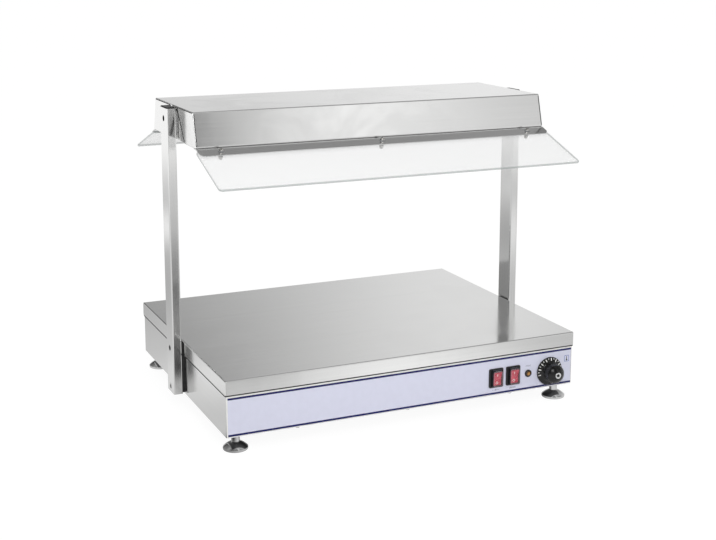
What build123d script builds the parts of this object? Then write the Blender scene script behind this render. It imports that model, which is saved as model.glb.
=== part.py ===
from build123d import *
from math import cos, radians, sin
import os

# Heated food display: a hot plate on a control base, two posts, and a lamp hood with two glass guards.
# Millimetres. X runs along the width, the controls face -Y, Z is up, and the origin is on the floor
# under the middle of the base.

# Base
BASE_WIDTH = 650.0
BASE_DEPTH = 500.0
PLATE_TOP = 124.0
PLATE_SHEET = 1.5
SKIRT_HEIGHT = 24.0
SKIRT_PLAY = 0.2
PLATE_BEND = 2.0
SKIRT_LIP = 0.6
WALL_SHEET = 1.2
WALL_BOTTOM = 29.0
BOTTOM_SHEET = 1.0
TOP_FLANGE = 18.0
BOTTOM_FLANGE = 10.0
CORNER_RADIUS = 2.5
OVERLAY_SHEET = 0.4
BOTTOM_WIDTH = 640.0
BOTTOM_DEPTH = 490.0
VENT_LENGTH = 70.0
VENT_WIDTH = 6.0
COVER_SCREW = 4.0
COVER_SCREW_HEAD = 7.6
COVER_SCREW_HOLE = 4.2

# Feet
FOOT_X = 301.0
FOOT_Y = 225.0
FOOT_DIAMETER = 41.0
FOOT_TOP = 27.7
FOOT_RIM = 4.2
FOOT_RIM_ROUND = 1.6
FOOT_NECK = 14.0
FOOT_SHOULDER = 12.4
STUD_DIAMETER = 10.0
STUD_TOP = 56.0
FOOT_NUT_RADIUS = 9.8
FOOT_NUT_HEIGHT = 8.0

# Posts
POST_INNER_FACE = 327.2
POST_WIDTH = 16.0
POST_DEPTH = 40.0
POST_WALL = 1.5
POST_RADIUS = 2.5
POST_TOP = 530.0
SPACER_DEPTH = 32.0
CAP_SHEET = 2.0
CAP_PLUG = 5.0
BASE_BOLT_HEIGHTS = (40.0, 109.0)
HOOD_BOLT_HEIGHT = 512.0
BOLT_DIAMETER = 5.9
BOLT_HOLE = 6.5
BOLT_HEAD = 9.6
BOLT_HEAD_TALL = 6.0
BOLT_SOCKET = 2.9
NUT_RADIUS = 5.8
NUT_BORE = 6.0
NUT_HEIGHT = 5.0
ACCESS_HOLE = 10.4
CABLE_Y = 11.0
CABLE_DIAMETER = 6.0
CABLE_HOLE = 8.0
CABLE_BASE_HEIGHT = 70.0
CABLE_HOOD_HEIGHT = 518.0

# Hood
HOOD_HALF_LENGTH = 326.0
HOOD_TOP = 534.0
HOOD_BOTTOM = 476.0
HOOD_HALF_TOP = 111.5
HOOD_HALF_BOTTOM = 127.0
HOOD_SHEET = 1.2
HOOD_BEND = 2.6
HOOD_END_ROUND = 1.0
END_CORNER = 2.4
HOOD_LIP = 12.0
TAB_TOP_Y = 23.0
TAB_FOOT_Y = 63.0
TAB_TIP_Y = 69.0
TAB_FOOT_RISE = 2.4

# Glass guards
GUARD_TILT = 19.0
RAIL_SHEET = 1.5
RAIL_FLANGE = 25.0
RAIL_CORNER = 12.0
RAIL_LEG = 12.5
GLASS_LENGTH = 654.0
GLASS_SHEET = 4.0
GLASS_START = 3.0
GLASS_END = 131.0
GLASS_CORNER = 6.0
GUARD_SCREW_X = 287.0
GUARD_SCREW_REACH = 11.6
GUARD_SCREW = 3.9
GUARD_SCREW_HEAD = 7.6
GUARD_SCREW_TALL = 3.0
GUARD_SCREW_ROUND = 1.4
GUARD_HOLE = 4.5
GLASS_HOLE = 6.5
WASHER_DIAMETER = 9.0
WASHER_SHEET = 1.0
GUARD_NUT_RADIUS = 4.04
GUARD_NUT_BORE = 4.0
GUARD_NUT_HEX = 3.2
GUARD_NUT_DOME = 6.4
GUARD_NUT_CAP = 4.6
GUARD_NUT_DEPTH = 5.0
RAIL_PLAY = 0.05
RIVET_DIAMETER = 4.0
RIVET_HEAD = 7.2
RIVET_HOLE = 4.1
RIVET_STEP = 180.0
RIVET_INSET = 7.0

# Control panel, measured from the middle of the base and the floor
SWITCH_HEIGHT = 60.5
SWITCH_X = {"light": 167.4, "heat": 201.4}
PILOT_X = 232.4
PILOT_HEIGHT = 59.6
KNOB_X = 275.6
KNOB_HEIGHT = 58.4
KNOB_SKIRT_RADIUS = 25.4
KNOB_GRIP_RADIUS = 16.75
KNOB_WAIST_RADIUS = 15.6
KNOB_HUB_RADIUS = 12.0
KNOB_GAP = 1.2
DIAL_RIM_RADIUS = 24.4
DIAL_RIM_HEIGHT = 3.4
DIAL_ROOT_RADIUS = 19.0
DIAL_ROOT_HEIGHT = 4.6
KNOB_FRONT = 31.3
KNOB_SHOULDER = 5.0
KNOB_FACE_RADIUS = 11.8
KNOB_RECESS = 1.0
INSERT_RADIUS = 6.1
INSERT_SEAT = 2.4
SWITCH_WIDTH = 28.0
SWITCH_TALL = 34.0
SWITCH_BEZEL = 3.0
SWITCH_CUTOUT_WIDTH = 22.0
SWITCH_CUTOUT_TALL = 30.0
SWITCH_DEPTH = 30.0
ROCKER_WIDTH = 16.4
ROCKER_POCKET = 27.6
ROCKER_SWING = 16.0
ROCKER_PIVOT = 3.0
ROCKER_TIP = 6.6
ROCKER_DIP = 5.0
BOOT_FRONT = 8.4
BOOT_WALL = 0.7
BOOT_TALL = 31.2
BOOT_TAPER = 1.8
PILOT_HOLE = 10.4
PILOT_THREAD = 10.0
PILOT_DEPTH = 26.0
PILOT_FLANGE = 13.2
PILOT_PROUD = 2.2
LENS_SEAT = 4.0
LENS_RADIUS = 4.55
LENS_EDGE = 1.8
LENS_RISE = 1.8
SHAFT_DIAMETER = 6.0
SHAFT_TOP = 18.0
SHAFT_HOLE = 8.4
GLAND_X = 240.0
GLAND_HEIGHT = 60.0
GLAND_BORE = 10.0
GLAND_THREAD = 20.0
GLAND_TAIL = 13.0
GLAND_HEX_RADIUS = 13.5
GLAND_HEX = 6.0
GLAND_NUT_RADIUS = 12.8
GLAND_NUT_START = 10.0
GLAND_NUT_END = 19.0
GLAND_DOME_RADIUS = 10.8
LOCKNUT_RADIUS = 14.0
LOCKNUT_HEIGHT = 5.0

# Heating
ELEMENT_DIAMETER = 8.0
ELEMENT_RUN_Y = 50.0
ELEMENT_HALF_RUN = 280.0
STRAP_WIDTH = 20.0
STRAP_SHEET = 1.2
TRAY_WIDTH = 604.0
TRAY_DEPTH = 454.0
TRAY_SHEET = 1.0
TRAY_FLANGE = 16.0
TRAY_BOTTOM = 84.0
INSULATION_TOP = 110.0
PASSAGE_HOLE = 14.0
THERMOSTAT_WIDTH = 38.0
THERMOSTAT_DEPTH = 34.0
BULB_DIAMETER = 6.0
BULB_LENGTH = 90.0
CAPILLARY_DIAMETER = 2.0
LAMP_Y = 55.0
LAMP_HEIGHT = 492.0
LAMP_DIAMETER = 10.0
LAMP_HALF_LENGTH = 304.0
REFLECTOR_TOP = 510.0
REFLECTOR_SHEET = 0.8
HOLDER_INNER = 286.0
HOLDER_OUTER = 308.0
HOLDER_WIDTH = 20.0
HOLDER_DROP = 9.0

# Worked out from the values above
PLATE_UNDERSIDE = PLATE_TOP - PLATE_SHEET
WALL_X = BASE_WIDTH / 2 - PLATE_SHEET - SKIRT_PLAY
WALL_Y = BASE_DEPTH / 2 - PLATE_SHEET - SKIRT_PLAY
WALL_HEIGHT = PLATE_UNDERSIDE - WALL_BOTTOM
PANEL_Y = WALL_Y + OVERLAY_SHEET
POST_MIDDLE = POST_INNER_FACE + POST_WIDTH / 2
HOOD_HEIGHT = HOOD_TOP - HOOD_BOTTOM
END_FACE = HOOD_HALF_LENGTH - HOOD_SHEET
END_INNER_FACE = END_FACE - HOOD_SHEET
ON_FLOOR = (Align.CENTER, Align.CENTER, Align.MIN)
PANEL = Plane.XZ.offset(PANEL_Y)
BEND_Y = HOOD_HALF_BOTTOM - 0.5
RAIL_TOP = HOOD_BOTTOM - RAIL_PLAY
RIVET_Y = HOOD_HALF_BOTTOM - RIVET_INSET
SIDES = {"left": -1, "right": 1}

os.makedirs("parts", exist_ok=True)


def write_piece(piece, name):
    """Label a finished piece and write it under its own name."""
    piece.part.label = name
    export_step(piece.part, f"parts/{name}.step")


def panel_plane(x, height):
    """A plane on the front of the control panel that faces the user, centred on one control."""
    return Plane(origin=(x, -PANEL_Y, height), x_dir=(1, 0, 0), z_dir=(0, -1, 0))


def turning_plane(x, height):
    """A plane for the half-profile of a turned control: across is the radius, up is towards the user."""
    return Plane(origin=(x, -PANEL_Y, height), x_dir=(1, 0, 0), z_dir=(0, 0, -1))


def guard_plane(side):
    """The top face of a guard rail's sloping flange, with up pointing back under the hood."""
    tilt = radians(GUARD_TILT)
    uphill = (0, side * sin(tilt), cos(tilt))
    return Plane(origin=(0, side * BEND_Y, RAIL_TOP), x_dir=(-side, 0, 0), z_dir=uphill)


def side_plane(sign, distance, height=0):
    """A plane that faces away from the middle of the object, to the left or to the right."""
    return Plane(origin=(sign * distance, 0, height), x_dir=(0, sign, 0), z_dir=(sign, 0, 0))


def control_openings(mode):
    """Draw the openings for the switches, the pilot light and the thermostat shaft in a panel sketch."""
    for switch_x in SWITCH_X.values():
        with Locations((switch_x, SWITCH_HEIGHT)):
            Rectangle(SWITCH_CUTOUT_WIDTH, SWITCH_CUTOUT_TALL, mode=mode)
    with Locations((PILOT_X, PILOT_HEIGHT)):
        Circle(PILOT_HOLE / 2, mode=mode)
    with Locations((KNOB_X, KNOB_HEIGHT)):
        Circle(SHAFT_HOLE / 2, mode=mode)


SCREW_SPOTS = [(x, y) for x in (-200, 0, 200) for y in (-240.5, 240.5)] + [(-315.5, 0), (315.5, 0)]

# Base housing: folded walls with a flange all round at the top and the bottom
with BuildPart() as base_housing:
    with Locations((0, 0, WALL_BOTTOM)):
        Box(2 * WALL_X, 2 * WALL_Y, WALL_HEIGHT, align=ON_FLOOR)
    fillet(base_housing.edges().filter_by(Axis.Z), CORNER_RADIUS)
    with Locations((0, 0, WALL_BOTTOM + WALL_SHEET)):
        Box(
            2 * (WALL_X - WALL_SHEET),
            2 * (WALL_Y - WALL_SHEET),
            WALL_HEIGHT - 2 * WALL_SHEET,
            align=ON_FLOOR,
            mode=Mode.SUBTRACT,
        )
    for height, flange in ((WALL_BOTTOM, BOTTOM_FLANGE), (PLATE_UNDERSIDE - WALL_SHEET, TOP_FLANGE)):
        margin = WALL_SHEET + flange
        with Locations((0, 0, height)):
            Box(
                2 * (WALL_X - margin),
                2 * (WALL_Y - margin),
                WALL_SHEET,
                align=ON_FLOOR,
                mode=Mode.SUBTRACT,
            )
    with BuildSketch(Plane.XY.offset(WALL_BOTTOM)):
        with Locations(*SCREW_SPOTS):
            Circle(COVER_SCREW_HOLE / 2)
    extrude(amount=WALL_SHEET, mode=Mode.SUBTRACT)
    with BuildSketch(PANEL):
        control_openings(Mode.ADD)
    extrude(amount=-10, mode=Mode.SUBTRACT)
    with BuildSketch(Plane.YZ.offset(-WALL_X - 1)):
        with Locations(*[(0, height) for height in BASE_BOLT_HEIGHTS]):
            Circle(BOLT_HOLE / 2)
    extrude(amount=2 * WALL_X + 2, mode=Mode.SUBTRACT)
    with BuildSketch(Plane.YZ.offset(WALL_X - 5)):
        with Locations((CABLE_Y, CABLE_BASE_HEIGHT)):
            Circle(CABLE_HOLE / 2)
    extrude(amount=10, mode=Mode.SUBTRACT)
    with BuildSketch(Plane.XZ.offset(-WALL_Y - 1)):
        with Locations((GLAND_X, GLAND_HEIGHT)):
            Circle(GLAND_THREAD / 2 + 0.2)
    extrude(amount=5, mode=Mode.SUBTRACT)
write_piece(base_housing, "base_housing")

# Bottom plate: a screwed cover with rows of cooling slots
with BuildPart() as bottom_plate:
    with Locations((0, 0, WALL_BOTTOM - BOTTOM_SHEET)):
        Box(BOTTOM_WIDTH, BOTTOM_DEPTH, BOTTOM_SHEET, align=ON_FLOOR)
    with BuildSketch(Plane.XY.offset(WALL_BOTTOM - BOTTOM_SHEET)):
        with Locations((-FOOT_X, -FOOT_Y), (-FOOT_X, FOOT_Y), (FOOT_X, -FOOT_Y), (FOOT_X, FOOT_Y)):
            Circle(STUD_DIAMETER / 2 + 0.6)
        with Locations((-150, 0), (150, 0)):
            with GridLocations(18, 110, 8, 2):
                SlotOverall(VENT_LENGTH, VENT_WIDTH, rotation=90)
        with Locations(*SCREW_SPOTS):
            Circle(COVER_SCREW_HOLE / 2)
    extrude(amount=BOTTOM_SHEET, mode=Mode.SUBTRACT)
write_piece(bottom_plate, "bottom_plate")

with BuildPart() as bottom_screws:
    with BuildSketch(Plane.XY.offset(WALL_BOTTOM - BOTTOM_SHEET)):
        with Locations(*SCREW_SPOTS):
            Circle(COVER_SCREW_HEAD / 2)
    extrude(amount=-2.2)
    with BuildSketch(Plane.XY.offset(WALL_BOTTOM - BOTTOM_SHEET)):
        with Locations(*SCREW_SPOTS):
            Circle(COVER_SCREW / 2)
    extrude(amount=BOTTOM_SHEET + WALL_SHEET + 1)
write_piece(bottom_screws, "bottom_screws")

# Hot plate: a flat lid with a skirt folded down over the walls
with BuildPart() as hot_plate:
    with Locations((0, 0, PLATE_TOP - SKIRT_HEIGHT)):
        Box(BASE_WIDTH, BASE_DEPTH, SKIRT_HEIGHT, align=ON_FLOOR)
    fillet(hot_plate.edges().filter_by(Axis.Z), CORNER_RADIUS)
    fillet(hot_plate.faces().sort_by(Axis.Z)[-1].edges(), PLATE_BEND)
    with Locations((0, 0, PLATE_TOP - SKIRT_HEIGHT)):
        Box(
            BASE_WIDTH - 2 * PLATE_SHEET,
            BASE_DEPTH - 2 * PLATE_SHEET,
            SKIRT_HEIGHT - PLATE_SHEET,
            align=ON_FLOOR,
            mode=Mode.SUBTRACT,
        )
    fillet(hot_plate.faces().sort_by(Axis.Z)[0].outer_wire().edges(), SKIRT_LIP)
    with BuildSketch(Plane.YZ.offset(-BASE_WIDTH / 2 - 1)):
        with Locations((0, BASE_BOLT_HEIGHTS[1])):
            Circle(BOLT_HOLE / 2)
    extrude(amount=BASE_WIDTH + 2, mode=Mode.SUBTRACT)
write_piece(hot_plate, "hot_plate")

# Front overlay: the printed film on the control face
OVERLAY_TOP = PLATE_TOP - SKIRT_HEIGHT - 0.4
OVERLAY_HEIGHT = OVERLAY_TOP - WALL_BOTTOM
with BuildPart() as front_overlay:
    with BuildSketch(PANEL):
        with Locations((0, WALL_BOTTOM + OVERLAY_HEIGHT / 2)):
            Rectangle(2 * (WALL_X - CORNER_RADIUS), OVERLAY_HEIGHT)
        control_openings(Mode.SUBTRACT)
    extrude(amount=-OVERLAY_SHEET)
write_piece(front_overlay, "front_overlay")

# Tubular heating element in four runs under the plate, both ends turned down at the right
ELEMENT_Z = PLATE_UNDERSIDE - ELEMENT_DIAMETER / 2 - 0.1
element_turns = [(ELEMENT_HALF_RUN, -3), (-ELEMENT_HALF_RUN, -3), (-ELEMENT_HALF_RUN, -1)]
element_turns += [(ELEMENT_HALF_RUN, -1), (ELEMENT_HALF_RUN, 1), (-ELEMENT_HALF_RUN, 1)]
element_turns += [(-ELEMENT_HALF_RUN, 3), (ELEMENT_HALF_RUN, 3)]
element_points = [(x, row * ELEMENT_RUN_Y, ELEMENT_Z) for x, row in element_turns]
element_points.insert(0, (ELEMENT_HALF_RUN, -3 * ELEMENT_RUN_Y, ELEMENT_Z - 28))
element_points.append((ELEMENT_HALF_RUN, 3 * ELEMENT_RUN_Y, ELEMENT_Z - 28))
with BuildPart() as heating_element:
    with BuildLine() as element_route:
        FilletPolyline(*element_points, radius=[16] + 6 * [42] + [16])
    with BuildSketch(Plane(origin=element_route.line @ 0, z_dir=element_route.line % 0)):
        Circle(ELEMENT_DIAMETER / 2)
    sweep(path=element_route.line)
write_piece(heating_element, "heating_element")

# Straps that press the element to the plate
STRAP_TOP = ELEMENT_Z - ELEMENT_DIAMETER / 2 - 0.1
with BuildPart() as element_straps:
    for strap_x in (-180, 0, 180):
        with BuildSketch(Plane.YZ.offset(strap_x - STRAP_WIDTH / 2)):
            with BuildLine():
                Polyline(
                    (-212, PLATE_UNDERSIDE),
                    (-196, PLATE_UNDERSIDE),
                    (-188, STRAP_TOP),
                    (188, STRAP_TOP),
                    (196, PLATE_UNDERSIDE),
                    (212, PLATE_UNDERSIDE),
                )
                offset(amount=STRAP_SHEET, side=Side.RIGHT)
            make_face()
        extrude(amount=STRAP_WIDTH)
write_piece(element_straps, "element_straps")

# Insulation board in a tray that hangs under the top flange
TRAY_TOP = PLATE_UNDERSIDE - WALL_SHEET
BOARD_PLAY = 2.0
PASSAGES = [(240, -100), (ELEMENT_HALF_RUN, -3 * ELEMENT_RUN_Y), (ELEMENT_HALF_RUN, 3 * ELEMENT_RUN_Y)]
with BuildPart() as insulation_tray:
    with Locations((0, 0, TRAY_BOTTOM)):
        Box(TRAY_WIDTH, TRAY_DEPTH, TRAY_TOP - TRAY_BOTTOM, align=ON_FLOOR)
    with BuildSketch(Plane.XY.offset(TRAY_TOP)):
        Rectangle(TRAY_WIDTH + 2 * TRAY_FLANGE, TRAY_DEPTH + 2 * TRAY_FLANGE)
    extrude(amount=-TRAY_SHEET)
    with BuildSketch(Plane.XY.offset(TRAY_TOP)):
        Rectangle(TRAY_WIDTH - 2 * TRAY_SHEET, TRAY_DEPTH - 2 * TRAY_SHEET)
    extrude(amount=TRAY_BOTTOM + TRAY_SHEET - TRAY_TOP, mode=Mode.SUBTRACT)
    with BuildSketch(Plane.XY.offset(TRAY_BOTTOM)):
        with Locations(*PASSAGES):
            Circle(PASSAGE_HOLE / 2)
    extrude(amount=TRAY_SHEET, mode=Mode.SUBTRACT)
write_piece(insulation_tray, "insulation_tray")

with BuildPart() as insulation_board:
    with BuildSketch(Plane.XY.offset(TRAY_BOTTOM + TRAY_SHEET)):
        Rectangle(TRAY_WIDTH - 2 * BOARD_PLAY, TRAY_DEPTH - 2 * BOARD_PLAY)
        with Locations(*PASSAGES):
            Circle(PASSAGE_HOLE / 2, mode=Mode.SUBTRACT)
    extrude(amount=INSULATION_TOP - TRAY_BOTTOM - TRAY_SHEET)
write_piece(insulation_board, "insulation_board")

# Thermostat: a body behind the panel, and a bulb on the plate at the end of a capillary tube
THERMOSTAT_BACK = -WALL_Y + WALL_SHEET + THERMOSTAT_DEPTH
BULB_Z = PLATE_UNDERSIDE - BULB_DIAMETER / 2 - 0.1
with BuildPart() as thermostat_body:
    with BuildSketch(PANEL.offset(-OVERLAY_SHEET - WALL_SHEET)):
        with Locations((KNOB_X, KNOB_HEIGHT)):
            RectangleRounded(THERMOSTAT_WIDTH, THERMOSTAT_WIDTH, 4)
    extrude(amount=-THERMOSTAT_DEPTH)
    with BuildSketch(PANEL.offset(-OVERLAY_SHEET - WALL_SHEET)):
        with Locations((KNOB_X, KNOB_HEIGHT)):
            Circle(SHAFT_DIAMETER / 2 + 0.05)
    extrude(amount=-20, mode=Mode.SUBTRACT)
write_piece(thermostat_body, "thermostat_body")

with BuildPart() as thermostat_bulb:
    with BuildSketch(Plane.YZ.offset(100)):
        with Locations((0, BULB_Z)):
            Circle(BULB_DIAMETER / 2)
    extrude(amount=BULB_LENGTH)
    fillet(thermostat_bulb.edges().filter_by(GeomType.CIRCLE), 1.2)
write_piece(thermostat_bulb, "thermostat_bulb")

capillary_points = [
    (KNOB_X, THERMOSTAT_BACK, 66),
    (KNOB_X, -100, 66),
    (240, -100, 66),
    (240, -100, 112.2),
    (240, 0, 112.2),
    (215, 0, 112.2),
    (200, 0, BULB_Z),
    (190, 0, BULB_Z),
]
with BuildPart() as thermostat_capillary:
    with BuildLine() as capillary_route:
        FilletPolyline(*capillary_points, radius=[12, 12, 12, 12, 10, 10])
    with BuildSketch(Plane(origin=capillary_route.line @ 0, z_dir=capillary_route.line % 0)):
        Circle(CAPILLARY_DIAMETER / 2)
    sweep(path=capillary_route.line)
write_piece(thermostat_capillary, "thermostat_capillary")

with BuildPart() as thermostat_shaft:
    with BuildSketch(panel_plane(KNOB_X, KNOB_HEIGHT).offset(-16)):
        Circle(SHAFT_DIAMETER / 2)
    extrude(amount=16 + SHAFT_TOP)
write_piece(thermostat_shaft, "thermostat_shaft")

# Control knob: a dial skirt that sweeps up into a round grip, with a bright insert in its face
with BuildPart() as control_knob:
    with BuildSketch(turning_plane(KNOB_X, KNOB_HEIGHT)):
        with BuildLine():
            Polyline(
                (0, SHAFT_TOP),
                (SHAFT_DIAMETER / 2 + 0.05, SHAFT_TOP),
                (SHAFT_DIAMETER / 2 + 0.05, 6),
                (KNOB_HUB_RADIUS, 6),
                (KNOB_HUB_RADIUS, 2.5),
                (KNOB_SKIRT_RADIUS - 2.4, KNOB_GAP),
                (KNOB_SKIRT_RADIUS, KNOB_GAP),
                (KNOB_SKIRT_RADIUS, KNOB_GAP + 1),
                (DIAL_RIM_RADIUS, DIAL_RIM_HEIGHT),
                (DIAL_ROOT_RADIUS, DIAL_ROOT_HEIGHT),
            )
            flare = ThreePointArc(
                (DIAL_ROOT_RADIUS, DIAL_ROOT_HEIGHT),
                (KNOB_WAIST_RADIUS + 1, DIAL_ROOT_HEIGHT + 1.8),
                (KNOB_WAIST_RADIUS, 10),
            )
            grip = Line(flare @ 1, (KNOB_GRIP_RADIUS, KNOB_FRONT - KNOB_SHOULDER))
            shoulder = ThreePointArc(
                grip @ 1,
                (KNOB_GRIP_RADIUS - 1.5, KNOB_FRONT - 1.8),
                (KNOB_FACE_RADIUS, KNOB_FRONT),
            )
            Polyline(
                shoulder @ 1,
                (KNOB_FACE_RADIUS - 1, KNOB_FRONT - KNOB_RECESS),
                (INSERT_RADIUS + 0.1, KNOB_FRONT - KNOB_RECESS),
                (INSERT_RADIUS + 0.1, KNOB_FRONT - INSERT_SEAT),
                (0, KNOB_FRONT - INSERT_SEAT),
                (0, SHAFT_TOP),
            )
        make_face()
    revolve(axis=Axis((KNOB_X, -PANEL_Y, KNOB_HEIGHT), (0, -1, 0)))
write_piece(control_knob, "control_knob")

with BuildPart() as knob_insert:
    with BuildSketch(turning_plane(KNOB_X, KNOB_HEIGHT)):
        with BuildLine():
            insert_side = Polyline(
                (0, KNOB_FRONT - INSERT_SEAT),
                (INSERT_RADIUS, KNOB_FRONT - INSERT_SEAT),
                (INSERT_RADIUS, KNOB_FRONT - 1.1),
                (INSERT_RADIUS - 0.7, KNOB_FRONT - 0.4),
            )
            dish = ThreePointArc(insert_side @ 1, (3.6, KNOB_FRONT - 0.8), (1.7, KNOB_FRONT - 1))
            Polyline(
                dish @ 1,
                (1.2, KNOB_FRONT - 1.9),
                (0, KNOB_FRONT - 1.9),
                (0, KNOB_FRONT - INSERT_SEAT),
            )
        make_face()
    revolve(axis=Axis((KNOB_X, -PANEL_Y, KNOB_HEIGHT), (0, -1, 0)))
write_piece(knob_insert, "knob_insert")

# Rocker switches: a framed housing, a rocker on two trunnions, and a clear boot over both
PIVOT_DEPTH = 1.0
BOOT_WIDTH = ROCKER_WIDTH + 4.2
BOOT_INSIDE_WIDTH = BOOT_WIDTH - 2 * BOOT_WALL
BOOT_INSIDE_TALL = BOOT_TALL - 2 * BOOT_WALL
for name, switch_x in SWITCH_X.items():
    face = panel_plane(switch_x, SWITCH_HEIGHT)
    pivot_end = (switch_x - ROCKER_WIDTH / 2, -PANEL_Y + PIVOT_DEPTH, SWITCH_HEIGHT)
    pivot = Plane(origin=pivot_end, x_dir=(0, -1, 0), z_dir=(1, 0, 0))
    with BuildPart() as switch_housing:
        with BuildSketch(face):
            RectangleRounded(SWITCH_WIDTH, SWITCH_TALL, 2.5)
        extrude(amount=SWITCH_BEZEL)
        chamfer(switch_housing.faces().sort_by(Axis.Y)[0].edges(), 1)
        with BuildSketch(face):
            Rectangle(SWITCH_CUTOUT_WIDTH - 0.4, SWITCH_CUTOUT_TALL - 0.4)
        extrude(amount=-SWITCH_DEPTH)
        with BuildSketch(face.offset(SWITCH_BEZEL)):
            Rectangle(ROCKER_WIDTH + 0.6, ROCKER_POCKET)
        extrude(amount=-SWITCH_BEZEL - 14, mode=Mode.SUBTRACT)
        with BuildSketch(pivot.offset(-3)):
            Circle(ROCKER_PIVOT / 2 + 0.05)
        extrude(amount=ROCKER_WIDTH + 6, mode=Mode.SUBTRACT)
        with BuildSketch(face.offset(-SWITCH_DEPTH)):
            with Locations((0, -9), (0, 0), (0, 9)):
                Rectangle(6.3, 0.8)
        extrude(amount=-9)
    write_piece(switch_housing, f"{name}_switch_housing")

    pressed = radians(ROCKER_SWING / 2)
    switched_off = Plane(origin=pivot_end, x_dir=(0, -cos(pressed), -sin(pressed)), z_dir=(1, 0, 0))
    with BuildPart() as rocker:
        with BuildSketch(switched_off) as rocker_side:
            with BuildLine():
                Polyline(
                    (-3, -6.5),
                    (1, -12.9),
                    (ROCKER_TIP, -12.5),
                    (ROCKER_DIP, 0),
                    (ROCKER_TIP, 12.5),
                    (1, 12.9),
                    (-3, 6.5),
                    close=True,
                )
            make_face()
            fillet(rocker_side.vertices().group_by(Axis.X)[-1], 1)
        extrude(amount=ROCKER_WIDTH)
        with BuildSketch(pivot.offset(-1.2)):
            Circle(ROCKER_PIVOT / 2)
        extrude(amount=ROCKER_WIDTH + 2.4)
    write_piece(rocker, f"{name}_rocker")

    with BuildPart() as boot:
        with BuildSketch(face.offset(SWITCH_BEZEL)):
            RectangleRounded(BOOT_WIDTH, BOOT_TALL, 2.5)
        with BuildSketch(face.offset(BOOT_FRONT)):
            RectangleRounded(BOOT_WIDTH - BOOT_TAPER, BOOT_TALL - BOOT_TAPER, 2.5)
        loft()
        fillet(boot.faces().sort_by(Axis.Y)[0].edges(), 1)
        with BuildSketch(face.offset(SWITCH_BEZEL)):
            RectangleRounded(BOOT_INSIDE_WIDTH, BOOT_INSIDE_TALL, 1.8)
        with BuildSketch(face.offset(BOOT_FRONT - BOOT_WALL)):
            RectangleRounded(BOOT_INSIDE_WIDTH - BOOT_TAPER, BOOT_INSIDE_TALL - BOOT_TAPER, 1.8)
        loft(mode=Mode.SUBTRACT)
    write_piece(boot, f"{name}_switch_boot")

# Pilot light: a threaded bezel with a domed amber lens
with BuildPart() as pilot_bezel:
    with BuildSketch(turning_plane(PILOT_X, PILOT_HEIGHT)):
        with BuildLine():
            Polyline(
                (0, -PILOT_DEPTH),
                (PILOT_THREAD / 2, -PILOT_DEPTH),
                (PILOT_THREAD / 2, 0),
                (PILOT_FLANGE / 2, 0),
                (PILOT_FLANGE / 2, PILOT_PROUD - 0.8),
                (PILOT_FLANGE / 2 - 0.8, PILOT_PROUD),
                (LENS_RADIUS + 0.05, PILOT_PROUD),
                (LENS_RADIUS + 0.05, -LENS_SEAT),
                (0, -LENS_SEAT),
                (0, -PILOT_DEPTH),
            )
        make_face()
    revolve(axis=Axis((PILOT_X, -PANEL_Y, PILOT_HEIGHT), (0, -1, 0)))
write_piece(pilot_bezel, "pilot_bezel")

LENS_DOME = (LENS_RADIUS**2 + LENS_RISE**2) / (2 * LENS_RISE)
with BuildPart() as pilot_lens:
    with BuildSketch(turning_plane(PILOT_X, PILOT_HEIGHT)):
        with BuildLine():
            lens_wall = Polyline(
                (0, LENS_EDGE + LENS_RISE),
                (0, -LENS_SEAT),
                (LENS_RADIUS, -LENS_SEAT),
                (LENS_RADIUS, LENS_EDGE),
            )
            RadiusArc(lens_wall @ 1, lens_wall @ 0, -LENS_DOME)
        make_face()
    revolve(axis=Axis((PILOT_X, -PANEL_Y, PILOT_HEIGHT), (0, -1, 0)))
write_piece(pilot_lens, "pilot_lens")

# Cable inlet at the back: a gland with its locknut, and the terminal block that it leads to
GLAND_REACH = KNOB_FRONT + OVERLAY_SHEET
gland_wall = Plane(origin=(GLAND_X, WALL_Y, GLAND_HEIGHT), x_dir=(-1, 0, 0), z_dir=(0, 1, 0))
with BuildPart() as cable_gland:
    with BuildSketch(gland_wall):
        RegularPolygon(GLAND_HEX_RADIUS, 6)
    extrude(amount=GLAND_HEX)
    with BuildSketch(gland_wall.offset(-GLAND_TAIL)):
        Circle(GLAND_THREAD / 2)
    extrude(amount=GLAND_TAIL + GLAND_NUT_START)
    with BuildSketch(gland_wall.offset(GLAND_NUT_START)):
        RegularPolygon(GLAND_NUT_RADIUS, 6)
    extrude(amount=GLAND_NUT_END - GLAND_NUT_START)
    with BuildSketch(gland_wall.offset(GLAND_NUT_END)):
        Circle(GLAND_DOME_RADIUS)
    extrude(amount=GLAND_REACH - GLAND_NUT_END, taper=18)
    with BuildSketch(gland_wall.offset(GLAND_REACH)):
        Circle(GLAND_BORE / 2)
    extrude(amount=-GLAND_REACH - GLAND_TAIL, mode=Mode.SUBTRACT)
write_piece(cable_gland, "cable_gland")

with BuildPart() as gland_locknut:
    with BuildSketch(gland_wall.offset(-WALL_SHEET)):
        RegularPolygon(LOCKNUT_RADIUS, 6)
        Circle(GLAND_THREAD / 2 + 0.05, mode=Mode.SUBTRACT)
    extrude(amount=-LOCKNUT_HEIGHT)
write_piece(gland_locknut, "gland_locknut")

with BuildPart() as terminal_block:
    with Locations((GLAND_X, 185, WALL_BOTTOM)):
        Box(46, 24, 20, align=ON_FLOOR)
    with BuildSketch(Plane.XZ.offset(-197)):
        with Locations(*[(GLAND_X + step, WALL_BOTTOM + 8) for step in (-15, -5, 5, 15)]):
            Circle(2.2)
    extrude(amount=8, mode=Mode.SUBTRACT)
    with BuildSketch(Plane.XY.offset(WALL_BOTTOM + 20)):
        with Locations(*[(GLAND_X + step, 185) for step in (-15, -5, 5, 15)]):
            Circle(2.4)
    extrude(amount=-6, mode=Mode.SUBTRACT)
write_piece(terminal_block, "terminal_block")

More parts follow.
